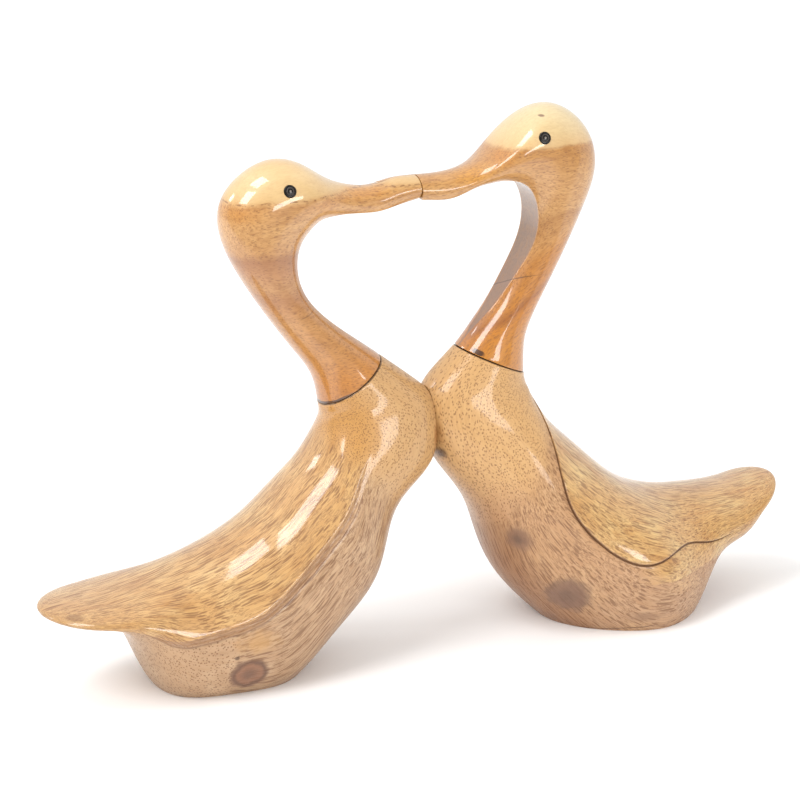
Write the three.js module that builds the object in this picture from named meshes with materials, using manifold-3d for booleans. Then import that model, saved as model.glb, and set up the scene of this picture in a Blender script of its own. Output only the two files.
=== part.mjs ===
// Wooden duck figurine: a pair of carved ducks that lean breast to breast and lap their bills, so that their
// necks and bills frame a heart-shaped opening. Each duck is two blocks, glued at the foot of the neck.
// Millimetres, +Z up. The floor is z = 0, +X runs along the pair from the left duck's tail to the right duck's,
// the origin is midway between the two tails, and both ducks are symmetric about y = 0.
import * as THREE from "three";
import { mergeVertices, toCreasedNormals } from "three/addons/utils/BufferGeometryUtils.js";
import Module from "manifold-3d";

// Touching pieces keep this gap between them.
const GLUE_GAP = 0.3;

// The breasts meet on an upright plane across the pair. The bills are halved where they lap, so the left tip
// lies on the -Y side and the right tip on the +Y side.
const BREAST_X = 1;
const BILL_LAP = { from: -21.8, to: -3.9 };

// An eye is a low dome, inlaid in a round socket.
const EYE = { radius: 2.7, depth: 2, rim: 0.1, dome: 0.6, sides: 14 };

// Below the wing's edge a narrow cove is cut into the flank.
const COVE_TOP = 0.8;
const COVE_WIDTH = 3.5;

// Rings along each block, and sides round one half of a ring.
const TAIL_END_RINGS = 5;
const BODY_RINGS = 34;
const HEAD_RINGS = 40;
const BILL_END_RINGS = 4;
const WING_SIDES = 6;
const BELLY_SIDES = 8;
const HEAD_SIDES = 9;

// Where the neck's two blocks meet, the head starts this share of a station further on, which is about GLUE_GAP.
const NECK_GAP = 0.03;
// The last ring stops just short of the bill's very tip, so that its faces keep some area.
const BILL_END = 0.01;

// Each duck is a row of stations from its tail to the tip of its bill. A station is one section of the wood:
// the point on the back or crown, the point on the belly, throat or underside of the bill, and half the width.
// A body station also says where the wing's edge is, in degrees round from the back, and how far the wing
// stands proud there. A head station has half the width of the flat sawn along the throat and under the bill.
// An eye's place is given in stations from the tail and in degrees round from the crown.
const LEFT = {
  facing: 1,
  eye: { station: 18.87, angle: 67.5 },
  body: [
    { back: [-183.5, 48.3], belly: [-186, 40.8], half: 22, wing: 92, step: 0 },
    { back: [-161.5, 48.2], belly: [-165, 37.7], half: 26, wing: 98, step: 1 },
    { back: [-138.5, 52.3], belly: [-145.5, 26.7], half: 31, wing: 99, step: 2 },
    { back: [-118.5, 58.3], belly: [-130.3, -2.5], half: 33, wing: 79, step: 2.4 },
    { back: [-99.5, 65], belly: [-100.5, -10], half: 36.5, wing: 73, step: 2.4 },
    { back: [-83.5, 74.5], belly: [-75, -8.5], half: 36, wing: 67, step: 2.4 },
    { back: [-70.5, 85.8], belly: [-49, 14], half: 34.5, wing: 66, step: 2 },
    { back: [-59.2, 97], belly: [-27.3, 38.3], half: 31, wing: 66, step: 1.2 },
    { back: [-52.7, 107], belly: [-17, 68.5], half: 26.5, wing: 68, step: 0.4 },
    { back: [-50.6, 113.2], belly: [2.3, 88.5], half: 23.5, wing: 66, step: 0 },
    { back: [-50.4, 116.2], belly: [4.8, 113.5], half: 19.8, wing: 70, step: 0 },
    { back: [-50.7, 118.8], belly: [-4.5, 126.6], half: 17, wing: 72, step: 0 },
    { back: [-51.1, 121.4], belly: [-22, 140.5], half: 14.7, wing: 75, step: 0 },
  ],
  head: [
    { back: [-54.1, 134], belly: [-33.5, 149.3], half: 12.6, flat: 2.5 },
    { back: [-63, 147.5], belly: [-46.5, 159.5], half: 12, flat: 5 },
    { back: [-75, 164], belly: [-58.5, 172], half: 12, flat: 6.5 },
    { back: [-87, 182.5], belly: [-64, 185.5], half: 13.5, flat: 8 },
    { back: [-96, 202], belly: [-63, 197], half: 16, flat: 8.5 },
    { back: [-94.3, 221], belly: [-58, 204], half: 17.5, flat: 8.5 },
    { back: [-76.5, 234], belly: [-52.5, 208], half: 17, flat: 8.5 },
    { back: [-59, 232], belly: [-46.5, 209], half: 14, flat: 8.5 },
    { back: [-44.9, 223.2], belly: [-38.5, 209], half: 10.5, flat: 8 },
    { back: [-27.5, 218.7], belly: [-26.5, 208.3], half: 9, flat: 7.5 },
    { back: [-15.5, 220.3], belly: [-16.5, 209.6], half: 8, flat: 6.5 },
    { back: [-4.5, 214.5], belly: [-4, 211], half: 6, flat: 4 },
  ],
};
const RIGHT = {
  facing: -1,
  eye: { station: 20.92, angle: 72 },
  body: [
    { back: [186.2, 55.3], belly: [183, 48.6], half: 17, wing: 98, step: 0 },
    { back: [170.5, 51.7], belly: [173.8, 39.3], half: 20.5, wing: 101, step: 0.4 },
    { back: [153.7, 51], belly: [163.5, 26], half: 25, wing: 95, step: 0.8 },
    { back: [137.8, 52.2], belly: [148, 17], half: 28, wing: 89, step: 0.8 },
    { back: [121.5, 55], belly: [134.5, -8], half: 35, wing: 64, step: 0.8 },
    { back: [105.5, 61], belly: [110, -23], half: 45, wing: 66, step: 0.8 },
    { back: [91, 71], belly: [80.5, -15.5], half: 42.5, wing: 78, step: 0.8 },
    { back: [76.5, 84.5], belly: [49.8, 11], half: 37, wing: 79, step: 0.8 },
    { back: [63.5, 97], belly: [33.7, 34.3], half: 34, wing: 61, step: 0.8 },
    { back: [54.5, 108.7], belly: [22.7, 62.5], half: 28, wing: 16, step: 0.5 },
    { back: [51, 116.5], belly: [6, 86.5], half: 24, wing: 15, step: 0 },
    { back: [50.1, 119], belly: [-2, 110.5], half: 20, wing: 15, step: 0 },
    { back: [49.6, 121.2], belly: [3.8, 125.7], half: 17.5, wing: 15, step: 0 },
    { back: [49.2, 123.4], belly: [16.8, 138.4], half: 15.3, wing: 15, step: 0 },
  ],
  head: [
    { back: [49.1, 136], belly: [25, 147.7], half: 13.5, flat: 2 },
    { back: [52.5, 149], belly: [33.5, 157.5], half: 12.8, flat: 4.5 },
    { back: [62.2, 167], belly: [44.5, 173.4], half: 12.5, flat: 7 },
    { back: [70.8, 184], belly: [51.5, 186.5], half: 13.5, flat: 8.5 },
    { back: [78.3, 200.5], belly: [52.8, 200], half: 15.5, flat: 8.5 },
    { back: [83.9, 218], belly: [48.5, 210.5], half: 17, flat: 8.5 },
    { back: [78, 236.5], belly: [41.5, 214.5], half: 17.5, flat: 8.5 },
    { back: [59.2, 246.9], belly: [34.5, 215.5], half: 17.5, flat: 8.5 },
    { back: [40.6, 236.2], belly: [28, 215], half: 14.3, flat: 8.5 },
    { back: [27.3, 225], belly: [20.5, 213.3], half: 11.3, flat: 8 },
    { back: [11.5, 220.8], belly: [9, 210], half: 9, flat: 7.5 },
    { back: [-3.5, 220.8], belly: [-4.5, 211], half: 8, flat: 7 },
    { back: [-14.5, 221], belly: [-14.5, 214.5], half: 7, flat: 5.5 },
    { back: [-21.5, 218.5], belly: [-21.5, 215.5], half: 6, flat: 4 },
  ],
};

// A corner of the slabs that trim the blocks, well outside the pair.
const OUTSIDE = 400;
// The bills lap above this height, and the breasts meet below it.
const LAP_HEIGHT = 180;

const wasm = await Module();
wasm.setup();

// The station where the neck joint is: the last of the body.
const jointOf = (duck) => duck.body.length - 1;
const tipOf = (duck) => duck.body.length + duck.head.length - 1;

// The natural cubic spline through values at 0, 1, 2 and so on.
function spline(values) {
  const n = values.length;
  const bend = new Array(n).fill(0);
  const ratio = new Array(n).fill(0);
  for (let i = 1; i < n - 1; i++) {
    const pull = 6 * (values[i + 1] - 2 * values[i] + values[i - 1]);
    ratio[i] = 1 / (4 - ratio[i - 1]);
    bend[i] = (pull - bend[i - 1]) * ratio[i];
  }
  for (let i = n - 2; i > 0; i--) bend[i] -= ratio[i] * bend[i + 1];
  return (t) => {
    const i = Math.min(Math.max(Math.floor(t), 0), n - 2);
    const b = t - i;
    const a = 1 - b;
    const curve = (a * a * a - a) * bend[i] + (b * b * b - b) * bend[i + 1];
    return a * values[i] + b * values[i + 1] + curve / 6;
  };
}

// How full the wood is near a rounded end: 0 at the very end, 1 from one station in.
function endRound(stationsIn) {
  const d = THREE.MathUtils.clamp(stationsIn, 0, 1);
  return Math.sqrt(1 - (1 - d) ** 2);
}

// A duck's section at any place along it, counted in stations from the tail.
function sectionsOf(duck) {
  const stations = [...duck.body, ...duck.head];
  const backX = spline(stations.map((s) => s.back[0]));
  const backZ = spline(stations.map((s) => s.back[1]));
  const bellyX = spline(stations.map((s) => s.belly[0]));
  const bellyZ = spline(stations.map((s) => s.belly[1]));
  const half = spline(stations.map((s) => s.half));
  const flat = spline(duck.head.map((s) => s.flat));
  const wing = spline(duck.body.map((s) => THREE.MathUtils.degToRad(s.wing)));
  const step = spline(duck.body.map((s) => s.step));
  return (t) => {
    const back = new THREE.Vector3(backX(t), 0, backZ(t));
    const belly = new THREE.Vector3(bellyX(t), 0, bellyZ(t));
    const up = back.clone().sub(belly).normalize();
    const fullness = endRound(t) * endRound(tipOf(duck) - t);
    const onBody = Math.min(t, jointOf(duck));
    return {
      middle: back.clone().lerp(belly, 0.5),
      up,
      height: (back.distanceTo(belly) / 2) * fullness,
      half: half(t) * fullness,
      flat: Math.max(flat(t - duck.body.length), 0) * fullness,
      wing: wing(onBody),
      step: Math.max(step(onBody), 0),
    };
  };
}

// A point of a section, y millimetres from its middle line and high above its middle.
function place(section, y, high) {
  const p = section.middle.clone().addScaledVector(section.up, high);
  p.y = y;
  return p;
}

// Half of a body section, from the back down to the belly, as [across, high] pairs: an oval on which the wing
// swells towards its edge and the cove runs just below.
function bodyHalf({ half, height, wing, step }) {
  const oval = (angle, proud) => {
    const out = new THREE.Vector2(height * Math.sin(angle), half * Math.cos(angle)).normalize();
    return [half * Math.sin(angle) + proud * out.x, height * Math.cos(angle) + proud * out.y];
  };
  const points = [];
  for (let i = 0; i <= WING_SIDES; i++) {
    const share = i / WING_SIDES;
    points.push(oval(wing * share, (step / 2) * share ** 3));
  }
  const coveEnd = wing + COVE_WIDTH / half;
  points.push(oval(wing + COVE_TOP / half, -step / 2));
  for (let i = 0; i <= BELLY_SIDES; i++) {
    const share = i / BELLY_SIDES;
    points.push(oval(coveEnd + (Math.PI - coveEnd) * share, (-step / 2) * (1 - share)));
  }
  return points;
}

// The round part of a head section: a circle squeezed to the head's width and cut off below by the flat.
function headRound({ half, height, flat }) {
  const cut = Math.sqrt(1 - Math.min(flat / half, 0.98) ** 2);
  const radius = (2 * height) / (1 + cut);
  return {
    at: (angle) => [half * Math.sin(angle), height - radius + radius * Math.cos(angle)],
    last: Math.acos(-cut),
  };
}

// Half of a head section, from the crown down to the middle of the flat, as [across, high] pairs.
function headHalf(section) {
  const round = headRound(section);
  const points = [];
  for (let i = 0; i <= HEAD_SIDES; i++) points.push(round.at((round.last * i) / HEAD_SIDES));
  points.push([0, -section.height]);
  return points;
}

// The whole ring of a section, from the back round by +Y and home by -Y.
function ringOf(section, halfOf) {
  const half = halfOf(section);
  const down = half.map(([across, high]) => place(section, across, high));
  const home = half.slice(1, -1).reverse();
  return [...down, ...home.map(([across, high]) => place(section, -across, high))];
}

// A closed mesh through rings of equal length, with a fan of faces at each end.
function skin(rings, facing) {
  const n = rings[0].length;
  const middleOf = (ring) => ring.reduce((sum, p) => sum.add(p), new THREE.Vector3()).divideScalar(n);
  const points = [middleOf(rings[0]), ...rings.flat(), middleOf(rings.at(-1))];
  const at = (ring, i) => 1 + ring * n + (i % n);
  const end = rings.length - 1;
  const faces = [];
  const face = (a, b, c) => faces.push(...(facing > 0 ? [a, c, b] : [a, b, c]));
  for (let i = 0; i < n; i++) {
    face(0, at(0, i + 1), at(0, i));
    for (let ring = 0; ring < end; ring++) {
      face(at(ring, i), at(ring, i + 1), at(ring + 1, i));
      face(at(ring, i + 1), at(ring + 1, i + 1), at(ring + 1, i));
    }
    face(points.length - 1, at(end, i), at(end, i + 1));
  }
  const geometry = new THREE.BufferGeometry();
  const positions = points.flatMap((p) => p.toArray());
  geometry.setAttribute("position", new THREE.Float32BufferAttribute(positions, 3));
  geometry.setIndex(faces);
  return geometry;
}

// The solid of a closed geometry.
function solidOf(geometry) {
  const bare = geometry.clone();
  bare.deleteAttribute("normal");
  bare.deleteAttribute("uv");
  const merged = mergeVertices(bare, 1e-4);
  return new wasm.Manifold(
    new wasm.Mesh({
      numProp: 3,
      vertProperties: merged.attributes.position.array,
      triVerts: new Uint32Array(merged.index.array),
    }),
  );
}

// The geometry of a solid, shaded smooth except across the sawn edges.
function geometryOf(solid) {
  const { vertProperties, triVerts } = solid.getMesh();
  const geometry = new THREE.BufferGeometry();
  geometry.setAttribute("position", new THREE.BufferAttribute(vertProperties, 3));
  geometry.setIndex(new THREE.BufferAttribute(triVerts, 1));
  return toCreasedNormals(geometry, THREE.MathUtils.degToRad(35));
}

// The solid box between two corners.
function slab(low, high) {
  const size = high.map((value, i) => value - low[i]);
  const box = new THREE.BoxGeometry(...size);
  box.translate(...low.map((value, i) => value + size[i] / 2));
  return solidOf(box);
}

// Body, breast, wings, tail and foot: one block, cut flat under the foot and where the breasts meet.
function bodyOf(duck) {
  const section = sectionsOf(duck);
  const places = [];
  for (let i = 1; i <= TAIL_END_RINGS; i++) places.push(1 - Math.cos((Math.PI * i) / (2 * TAIL_END_RINGS)));
  for (let i = 1; i <= BODY_RINGS; i++) places.push(1 + ((jointOf(duck) - 1) * i) / BODY_RINGS);
  const rings = places.map((t) => ringOf(section(t), bodyHalf));
  const below = slab([-OUTSIDE, -OUTSIDE, -OUTSIDE], [OUTSIDE, OUTSIDE, 0]);
  const face = BREAST_X - (duck.facing * GLUE_GAP) / 2;
  const [from, to] = duck.facing > 0 ? [face, OUTSIDE] : [-OUTSIDE, face];
  const beyond = slab([from, -OUTSIDE, -OUTSIDE], [to, OUTSIDE, LAP_HEIGHT]);
  return solidOf(skin(rings, duck.facing)).subtract(below).subtract(beyond);
}

// Neck, head and bill: one block, halved where the bills lap, with a socket on each side for an eye.
function headOf(duck) {
  const section = sectionsOf(duck);
  const from = jointOf(duck) + NECK_GAP;
  const lastFull = tipOf(duck) - 1;
  const places = [];
  for (let i = 0; i <= HEAD_RINGS; i++) places.push(from + ((lastFull - from) * i) / HEAD_RINGS);
  for (let i = 1; i < BILL_END_RINGS; i++) places.push(lastFull + Math.sin((Math.PI * i) / (2 * BILL_END_RINGS)));
  places.push(tipOf(duck) - BILL_END);
  const rings = places.map((t) => ringOf(section(t), headHalf));
  const lap =
    duck.facing > 0
      ? slab([BILL_LAP.from, -GLUE_GAP / 2, LAP_HEIGHT], [OUTSIDE, OUTSIDE, OUTSIDE])
      : slab([-OUTSIDE, -OUTSIDE, LAP_HEIGHT], [BILL_LAP.to, GLUE_GAP / 2, OUTSIDE]);
  let head = solidOf(skin(rings, duck.facing)).subtract(lap);
  for (const side of [-1, 1]) {
    const socket = socketGeometry().applyMatrix4(eyeMatrix(duck, side));
    head = head.subtract(solidOf(socket));
  }
  return head;
}

// The place of an eye on the -Y or the +Y side: its origin on the head's surface and its +Y axis straight out.
function eyeMatrix(duck, side) {
  const section = sectionsOf(duck);
  const angle = THREE.MathUtils.degToRad(duck.eye.angle);
  const surface = (station, round) => {
    const s = section(station);
    const [across, high] = headRound(s).at(round);
    return place(s, side * across, high);
  };
  const small = 0.02;
  const { station } = duck.eye;
  const point = surface(station, angle);
  const along = surface(station + small, angle).sub(point);
  const round = surface(station, angle + small).sub(point);
  const out = along.cross(round).normalize();
  if (out.y * side < 0) out.negate();
  const turn = new THREE.Quaternion().setFromUnitVectors(new THREE.Vector3(0, 1, 0), out);
  return new THREE.Matrix4().compose(point, turn, new THREE.Vector3(1, 1, 1));
}

function eyeGeometry() {
  const { radius, depth, rim, dome, sides } = EYE;
  const profile = [
    [0, -depth],
    [radius, -depth],
    [radius, rim],
    [0.6 * radius, rim + 0.7 * (dome - rim)],
    [0, dome],
  ];
  return new THREE.LatheGeometry(profile.map((p) => new THREE.Vector2(...p)), sides);
}

function socketGeometry() {
  const radius = EYE.radius + GLUE_GAP;
  const floor = -EYE.depth - GLUE_GAP;
  const mouth = EYE.depth;
  const profile = [
    [0, floor],
    [radius, floor],
    [radius, mouth],
    [0, mouth],
  ];
  return new THREE.LatheGeometry(profile.map((p) => new THREE.Vector2(...p)), EYE.sides);
}

const bodyWood = new THREE.MeshStandardMaterial({ color: 0xcfa068, roughness: 0.38, metalness: 0 });
const headWood = new THREE.MeshStandardMaterial({ color: 0xd2983f, roughness: 0.3, metalness: 0 });
const eyeBead = new THREE.MeshStandardMaterial({ color: 0x2a2725, roughness: 0.25, metalness: 0 });

function meshOf(name, geometry, material) {
  const mesh = new THREE.Mesh(geometry, material);
  mesh.name = name;
  return mesh;
}

// One duck, with its pieces named after its side of the pair.
function duckGroup(side, duck) {
  const group = new THREE.Group();
  group.add(meshOf(`${side}_body`, geometryOf(bodyOf(duck)), bodyWood));
  group.add(meshOf(`${side}_head`, geometryOf(headOf(duck)), headWood));
  for (const [where, y] of [["near", -1], ["far", 1]]) {
    const eye = meshOf(`${side}_eye_${where}`, eyeGeometry(), eyeBead);
    eye.applyMatrix4(eyeMatrix(duck, y));
    group.add(eye);
  }
  return group;
}

const pair = new THREE.Group();
pair.add(duckGroup("left", LEFT), duckGroup("right", RIGHT));

export default pair;
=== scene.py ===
"""A pair of carved wooden ducks, glued breast to breast with their bills lapped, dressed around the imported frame.

Metres, +Z up. +X runs from the left duck's tail to the right duck's, and both ducks are symmetric about y = 0.
The photograph looks from the -Y side. Each duck is a body and a head, glued at the foot of the neck, with a
small round bead inlaid on each side for an eye.
"""

import logging
import math
from collections.abc import Sequence
from dataclasses import dataclass, field, replace
from enum import Enum

import bmesh
import bpy
from mathutils import Matrix, Vector


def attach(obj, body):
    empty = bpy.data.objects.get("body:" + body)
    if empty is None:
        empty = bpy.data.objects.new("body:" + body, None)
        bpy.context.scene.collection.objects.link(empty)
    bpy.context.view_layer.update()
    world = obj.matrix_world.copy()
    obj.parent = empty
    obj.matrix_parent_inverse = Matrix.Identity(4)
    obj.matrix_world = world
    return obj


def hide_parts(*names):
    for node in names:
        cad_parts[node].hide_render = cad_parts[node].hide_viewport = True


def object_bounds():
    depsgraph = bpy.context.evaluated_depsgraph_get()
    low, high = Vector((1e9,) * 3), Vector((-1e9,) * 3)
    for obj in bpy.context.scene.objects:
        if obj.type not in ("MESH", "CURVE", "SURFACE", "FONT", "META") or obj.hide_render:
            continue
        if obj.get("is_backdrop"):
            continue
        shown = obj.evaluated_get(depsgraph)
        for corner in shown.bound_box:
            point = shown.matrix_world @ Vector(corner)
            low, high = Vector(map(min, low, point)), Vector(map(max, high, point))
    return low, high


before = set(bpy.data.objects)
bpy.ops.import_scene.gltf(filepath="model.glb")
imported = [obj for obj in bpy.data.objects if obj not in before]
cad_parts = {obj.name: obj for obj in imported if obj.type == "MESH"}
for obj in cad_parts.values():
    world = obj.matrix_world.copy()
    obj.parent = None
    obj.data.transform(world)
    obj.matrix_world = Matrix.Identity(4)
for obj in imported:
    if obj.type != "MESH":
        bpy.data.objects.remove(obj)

LOG = logging.getLogger("ducks")
MM = 0.001

# Touching pieces keep this gap between them.
GLUE_GAP = 0.3 * MM
# The breasts meet on an upright plane across the pair, and the bills are halved where they lap.
BREAST_X = 1 * MM
BILL_LAP_FROM = -21.8 * MM
BILL_LAP_TO = -3.9 * MM
LAP_HEIGHT = 180 * MM
# The edge of a sawn face is rubbed down by this much, and its points lie no closer than this.
RUBBED_EDGE = 0.3 * MM
RIM_MERGE = 0.12 * MM
# How much brighter than its own colour a surface looks in the studio.
STUDIO_LIGHT = 1.5
# A head's sawn flat is nowhere narrower than this from its middle.
LEAST_FLAT = 0.8 * MM
# Faces that meet at a wider angle than this keep a sharp edge.
SHARP_ANGLE = math.radians(38)

Point = tuple[float, float]
Place = tuple[float, float, float]
Tone = tuple[int, int, int]
Socket = bpy.types.NodeSocket


class WingEdge(Enum):
    """How the wing stands off the flank: over a hollow cove, or behind a narrow scored line."""

    COVED = "coved"
    SCORED = "scored"


@dataclass(frozen=True)
class BodyStation:
    """A section of a body: its top and bottom in the middle plane, half its width, the wing edge's angle in
    degrees round from the back, and how far the wing stands proud there."""

    back: Point
    belly: Point
    half: float
    wing: float
    step: float


@dataclass(frozen=True)
class HeadStation:
    """A section of a neck, head or bill: its top and bottom, half its width and half the width of the sawn flat."""

    back: Point
    belly: Point
    half: float
    flat: float


@dataclass(frozen=True)
class DuckSizes:
    """The sizes of one duck, from the tip of its tail to the tip of its bill."""

    name: str
    facing: int
    edge: WingEdge
    body: tuple[BodyStation, ...]
    head: tuple[HeadStation, ...]
    eye_station: float
    eye_angle: float
    dots_from: float
    dots_to: float
    proudest: float


LEFT = DuckSizes(
    name="left",
    facing=1,
    edge=WingEdge.COVED,
    eye_station=18.87,
    eye_angle=67.5,
    dots_from=7.3,
    dots_to=8.8,
    proudest=2.0 * MM,
    body=(
        BodyStation((-0.1835, 0.0483), (-0.1860, 0.0408), 0.0220, 92, 0.0),
        BodyStation((-0.1615, 0.0482), (-0.1650, 0.0377), 0.0260, 98, 0.0010),
        BodyStation((-0.1385, 0.0523), (-0.1455, 0.0267), 0.0310, 99, 0.0020),
        BodyStation((-0.1185, 0.0583), (-0.1303, -0.0025), 0.0330, 79, 0.0024),
        BodyStation((-0.0995, 0.0650), (-0.1005, -0.0100), 0.0365, 73, 0.0024),
        BodyStation((-0.0835, 0.0745), (-0.0750, -0.0085), 0.0360, 67, 0.0024),
        BodyStation((-0.0705, 0.0858), (-0.0490, 0.0140), 0.0345, 66, 0.0020),
        BodyStation((-0.0592, 0.0970), (-0.0273, 0.0383), 0.0310, 66, 0.0012),
        BodyStation((-0.0527, 0.1070), (-0.0170, 0.0685), 0.0265, 68, 0.0004),
        BodyStation((-0.0506, 0.1132), (0.0023, 0.0885), 0.0235, 66, 0.0),
        BodyStation((-0.0504, 0.1162), (0.0048, 0.1135), 0.0198, 70, 0.0),
        BodyStation((-0.0507, 0.1188), (-0.0045, 0.1266), 0.0170, 72, 0.0),
        BodyStation((-0.0511, 0.1214), (-0.0220, 0.1405), 0.0147, 75, 0.0),
    ),
    head=(
        HeadStation((-0.0541, 0.1340), (-0.0335, 0.1493), 0.0126, 0.0025),
        HeadStation((-0.0630, 0.1475), (-0.0465, 0.1595), 0.0120, 0.0050),
        HeadStation((-0.0750, 0.1640), (-0.0585, 0.1720), 0.0120, 0.0065),
        HeadStation((-0.0870, 0.1825), (-0.0640, 0.1855), 0.0135, 0.0080),
        HeadStation((-0.0960, 0.2020), (-0.0630, 0.1970), 0.0160, 0.0085),
        HeadStation((-0.0943, 0.2210), (-0.0580, 0.2040), 0.0175, 0.0085),
        HeadStation((-0.0765, 0.2340), (-0.0525, 0.2080), 0.0170, 0.0085),
        HeadStation((-0.0590, 0.2320), (-0.0465, 0.2090), 0.0140, 0.0085),
        HeadStation((-0.0449, 0.2232), (-0.0385, 0.2090), 0.0105, 0.0080),
        HeadStation((-0.0275, 0.2187), (-0.0265, 0.2083), 0.0090, 0.0075),
        HeadStation((-0.0155, 0.2207), (-0.0165, 0.2096), 0.0082, 0.0065),
        HeadStation((-0.0040, 0.2208), (-0.0040, 0.2114), 0.0077, 0.0050),
        HeadStation((0.0080, 0.2208), (0.0080, 0.2125), 0.0080, 0.0050),
    ),
)

RIGHT = DuckSizes(
    name="right",
    facing=-1,
    edge=WingEdge.SCORED,
    eye_station=20.92,
    eye_angle=72,
    dots_from=8.0,
    dots_to=9.2,
    proudest=0.7 * MM,
    body=(
        BodyStation((0.1862, 0.0553), (0.1830, 0.0486), 0.0170, 98, 0.0),
        BodyStation((0.1705, 0.0517), (0.1738, 0.0393), 0.0205, 101, 0.0004),
        BodyStation((0.1537, 0.0510), (0.1635, 0.0260), 0.0250, 95, 0.0008),
        BodyStation((0.1378, 0.0522), (0.1480, 0.0170), 0.0280, 89, 0.0008),
        BodyStation((0.1215, 0.0550), (0.1345, -0.0080), 0.0350, 64, 0.0008),
        BodyStation((0.1055, 0.0610), (0.1100, -0.0230), 0.0450, 66, 0.0008),
        BodyStation((0.0910, 0.0710), (0.0805, -0.0155), 0.0425, 78, 0.0008),
        BodyStation((0.0765, 0.0845), (0.0498, 0.0110), 0.0370, 79, 0.0008),
        BodyStation((0.0635, 0.0970), (0.0337, 0.0343), 0.0340, 61, 0.0008),
        BodyStation((0.0545, 0.1087), (0.0227, 0.0625), 0.0280, 16, 0.0005),
        BodyStation((0.0510, 0.1165), (0.0060, 0.0865), 0.0240, 15, 0.0),
        BodyStation((0.0501, 0.1190), (-0.0020, 0.1105), 0.0200, 15, 0.0),
        BodyStation((0.0496, 0.1212), (0.0038, 0.1257), 0.0175, 15, 0.0),
        BodyStation((0.0492, 0.1234), (0.0168, 0.1384), 0.0153, 15, 0.0),
    ),
    head=(
        HeadStation((0.0491, 0.1360), (0.0250, 0.1477), 0.0135, 0.0020),
        HeadStation((0.0525, 0.1490), (0.0335, 0.1575), 0.0128, 0.0045),
        HeadStation((0.0622, 0.1670), (0.0445, 0.1734), 0.0125, 0.0070),
        HeadStation((0.0708, 0.1840), (0.0515, 0.1865), 0.0135, 0.0085),
        HeadStation((0.0783, 0.2005), (0.0528, 0.2000), 0.0155, 0.0085),
        HeadStation((0.0839, 0.2180), (0.0485, 0.2105), 0.0170, 0.0085),
        HeadStation((0.0780, 0.2365), (0.0415, 0.2145), 0.0175, 0.0085),
        HeadStation((0.0592, 0.2469), (0.0345, 0.2155), 0.0175, 0.0085),
        HeadStation((0.0406, 0.2362), (0.0280, 0.2150), 0.0143, 0.0085),
        HeadStation((0.0273, 0.2250), (0.0205, 0.2133), 0.0113, 0.0080),
        HeadStation((0.0115, 0.2208), (0.0090, 0.2100), 0.0090, 0.0075),
        HeadStation((-0.0035, 0.2208), (-0.0045, 0.2110), 0.0080, 0.0070),
        HeadStation((-0.0145, 0.2207), (-0.0145, 0.2098), 0.0083, 0.0060),
        HeadStation((-0.0225, 0.2193), (-0.0225, 0.2088), 0.0086, 0.0060),
        HeadStation((-0.0320, 0.2187), (-0.0320, 0.2083), 0.0086, 0.0060),
    ),
)


def smooth(low: float, high: float, value: float) -> float:
    """A soft step.

    Args:
        low: Where the step starts, with 0.
        high: Where it ends, with 1. It may lie below low.
        value: The place asked for.

    Returns:
        A share from 0 to 1.
    """
    share = min(max((value - low) / (high - low), 0.0), 1.0)
    return share * share * (3 - 2 * share)


class Spline:
    """The natural cubic spline through values at 0, 1, 2 and so on."""

    def __init__(self, values: Sequence[float]) -> None:
        """Works out the bend at each value.

        Args:
            values: What the spline goes through.
        """
        count = len(values)
        ratio = [0.0] * count
        self.values = list(values)
        self.bend = [0.0] * count
        for i in range(1, count - 1):
            pull = 6 * (values[i + 1] - 2 * values[i] + values[i - 1])
            ratio[i] = 1 / (4 - ratio[i - 1])
            self.bend[i] = (pull - self.bend[i - 1]) * ratio[i]
        for i in range(count - 2, 0, -1):
            self.bend[i] -= ratio[i] * self.bend[i + 1]

    def at(self, t: float) -> float:
        """The value at a place.

        Args:
            t: The place, counted in values from the first.

        Returns:
            The spline's value there.
        """
        i = min(max(math.floor(t), 0), len(self.values) - 2)
        b = t - i
        a = 1 - b
        curve = (a**3 - a) * self.bend[i] + (b**3 - b) * self.bend[i + 1]
        return a * self.values[i] + b * self.values[i + 1] + curve / 6


@dataclass(frozen=True)
class Section:
    """A duck's section: its middle, which way is up in it, and its sizes there."""

    middle: Vector
    up: Vector
    height: float
    half: float
    flat: float
    wing: float
    step: float
    along: float

    def place(self, across: float, high: float) -> Vector:
        """A point of the section.

        Args:
            across: How far it lies towards +Y.
            high: How far it lies above the middle.

        Returns:
            The point in the frame.
        """
        return self.middle + self.up * high + Vector((0, across, 0))


@dataclass(frozen=True)
class Mark:
    """A point of a skin: its place, its place along the wood's fibres, how far it lies above the wing's edge or
    inside the sawn flat's, how much the fibres show as dots, and how proud the wing stands as a share."""

    place: Vector
    grain: Vector = Vector()
    edge: float = 0.0
    dots: float = 0.0
    proud: float = 0.0


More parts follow.
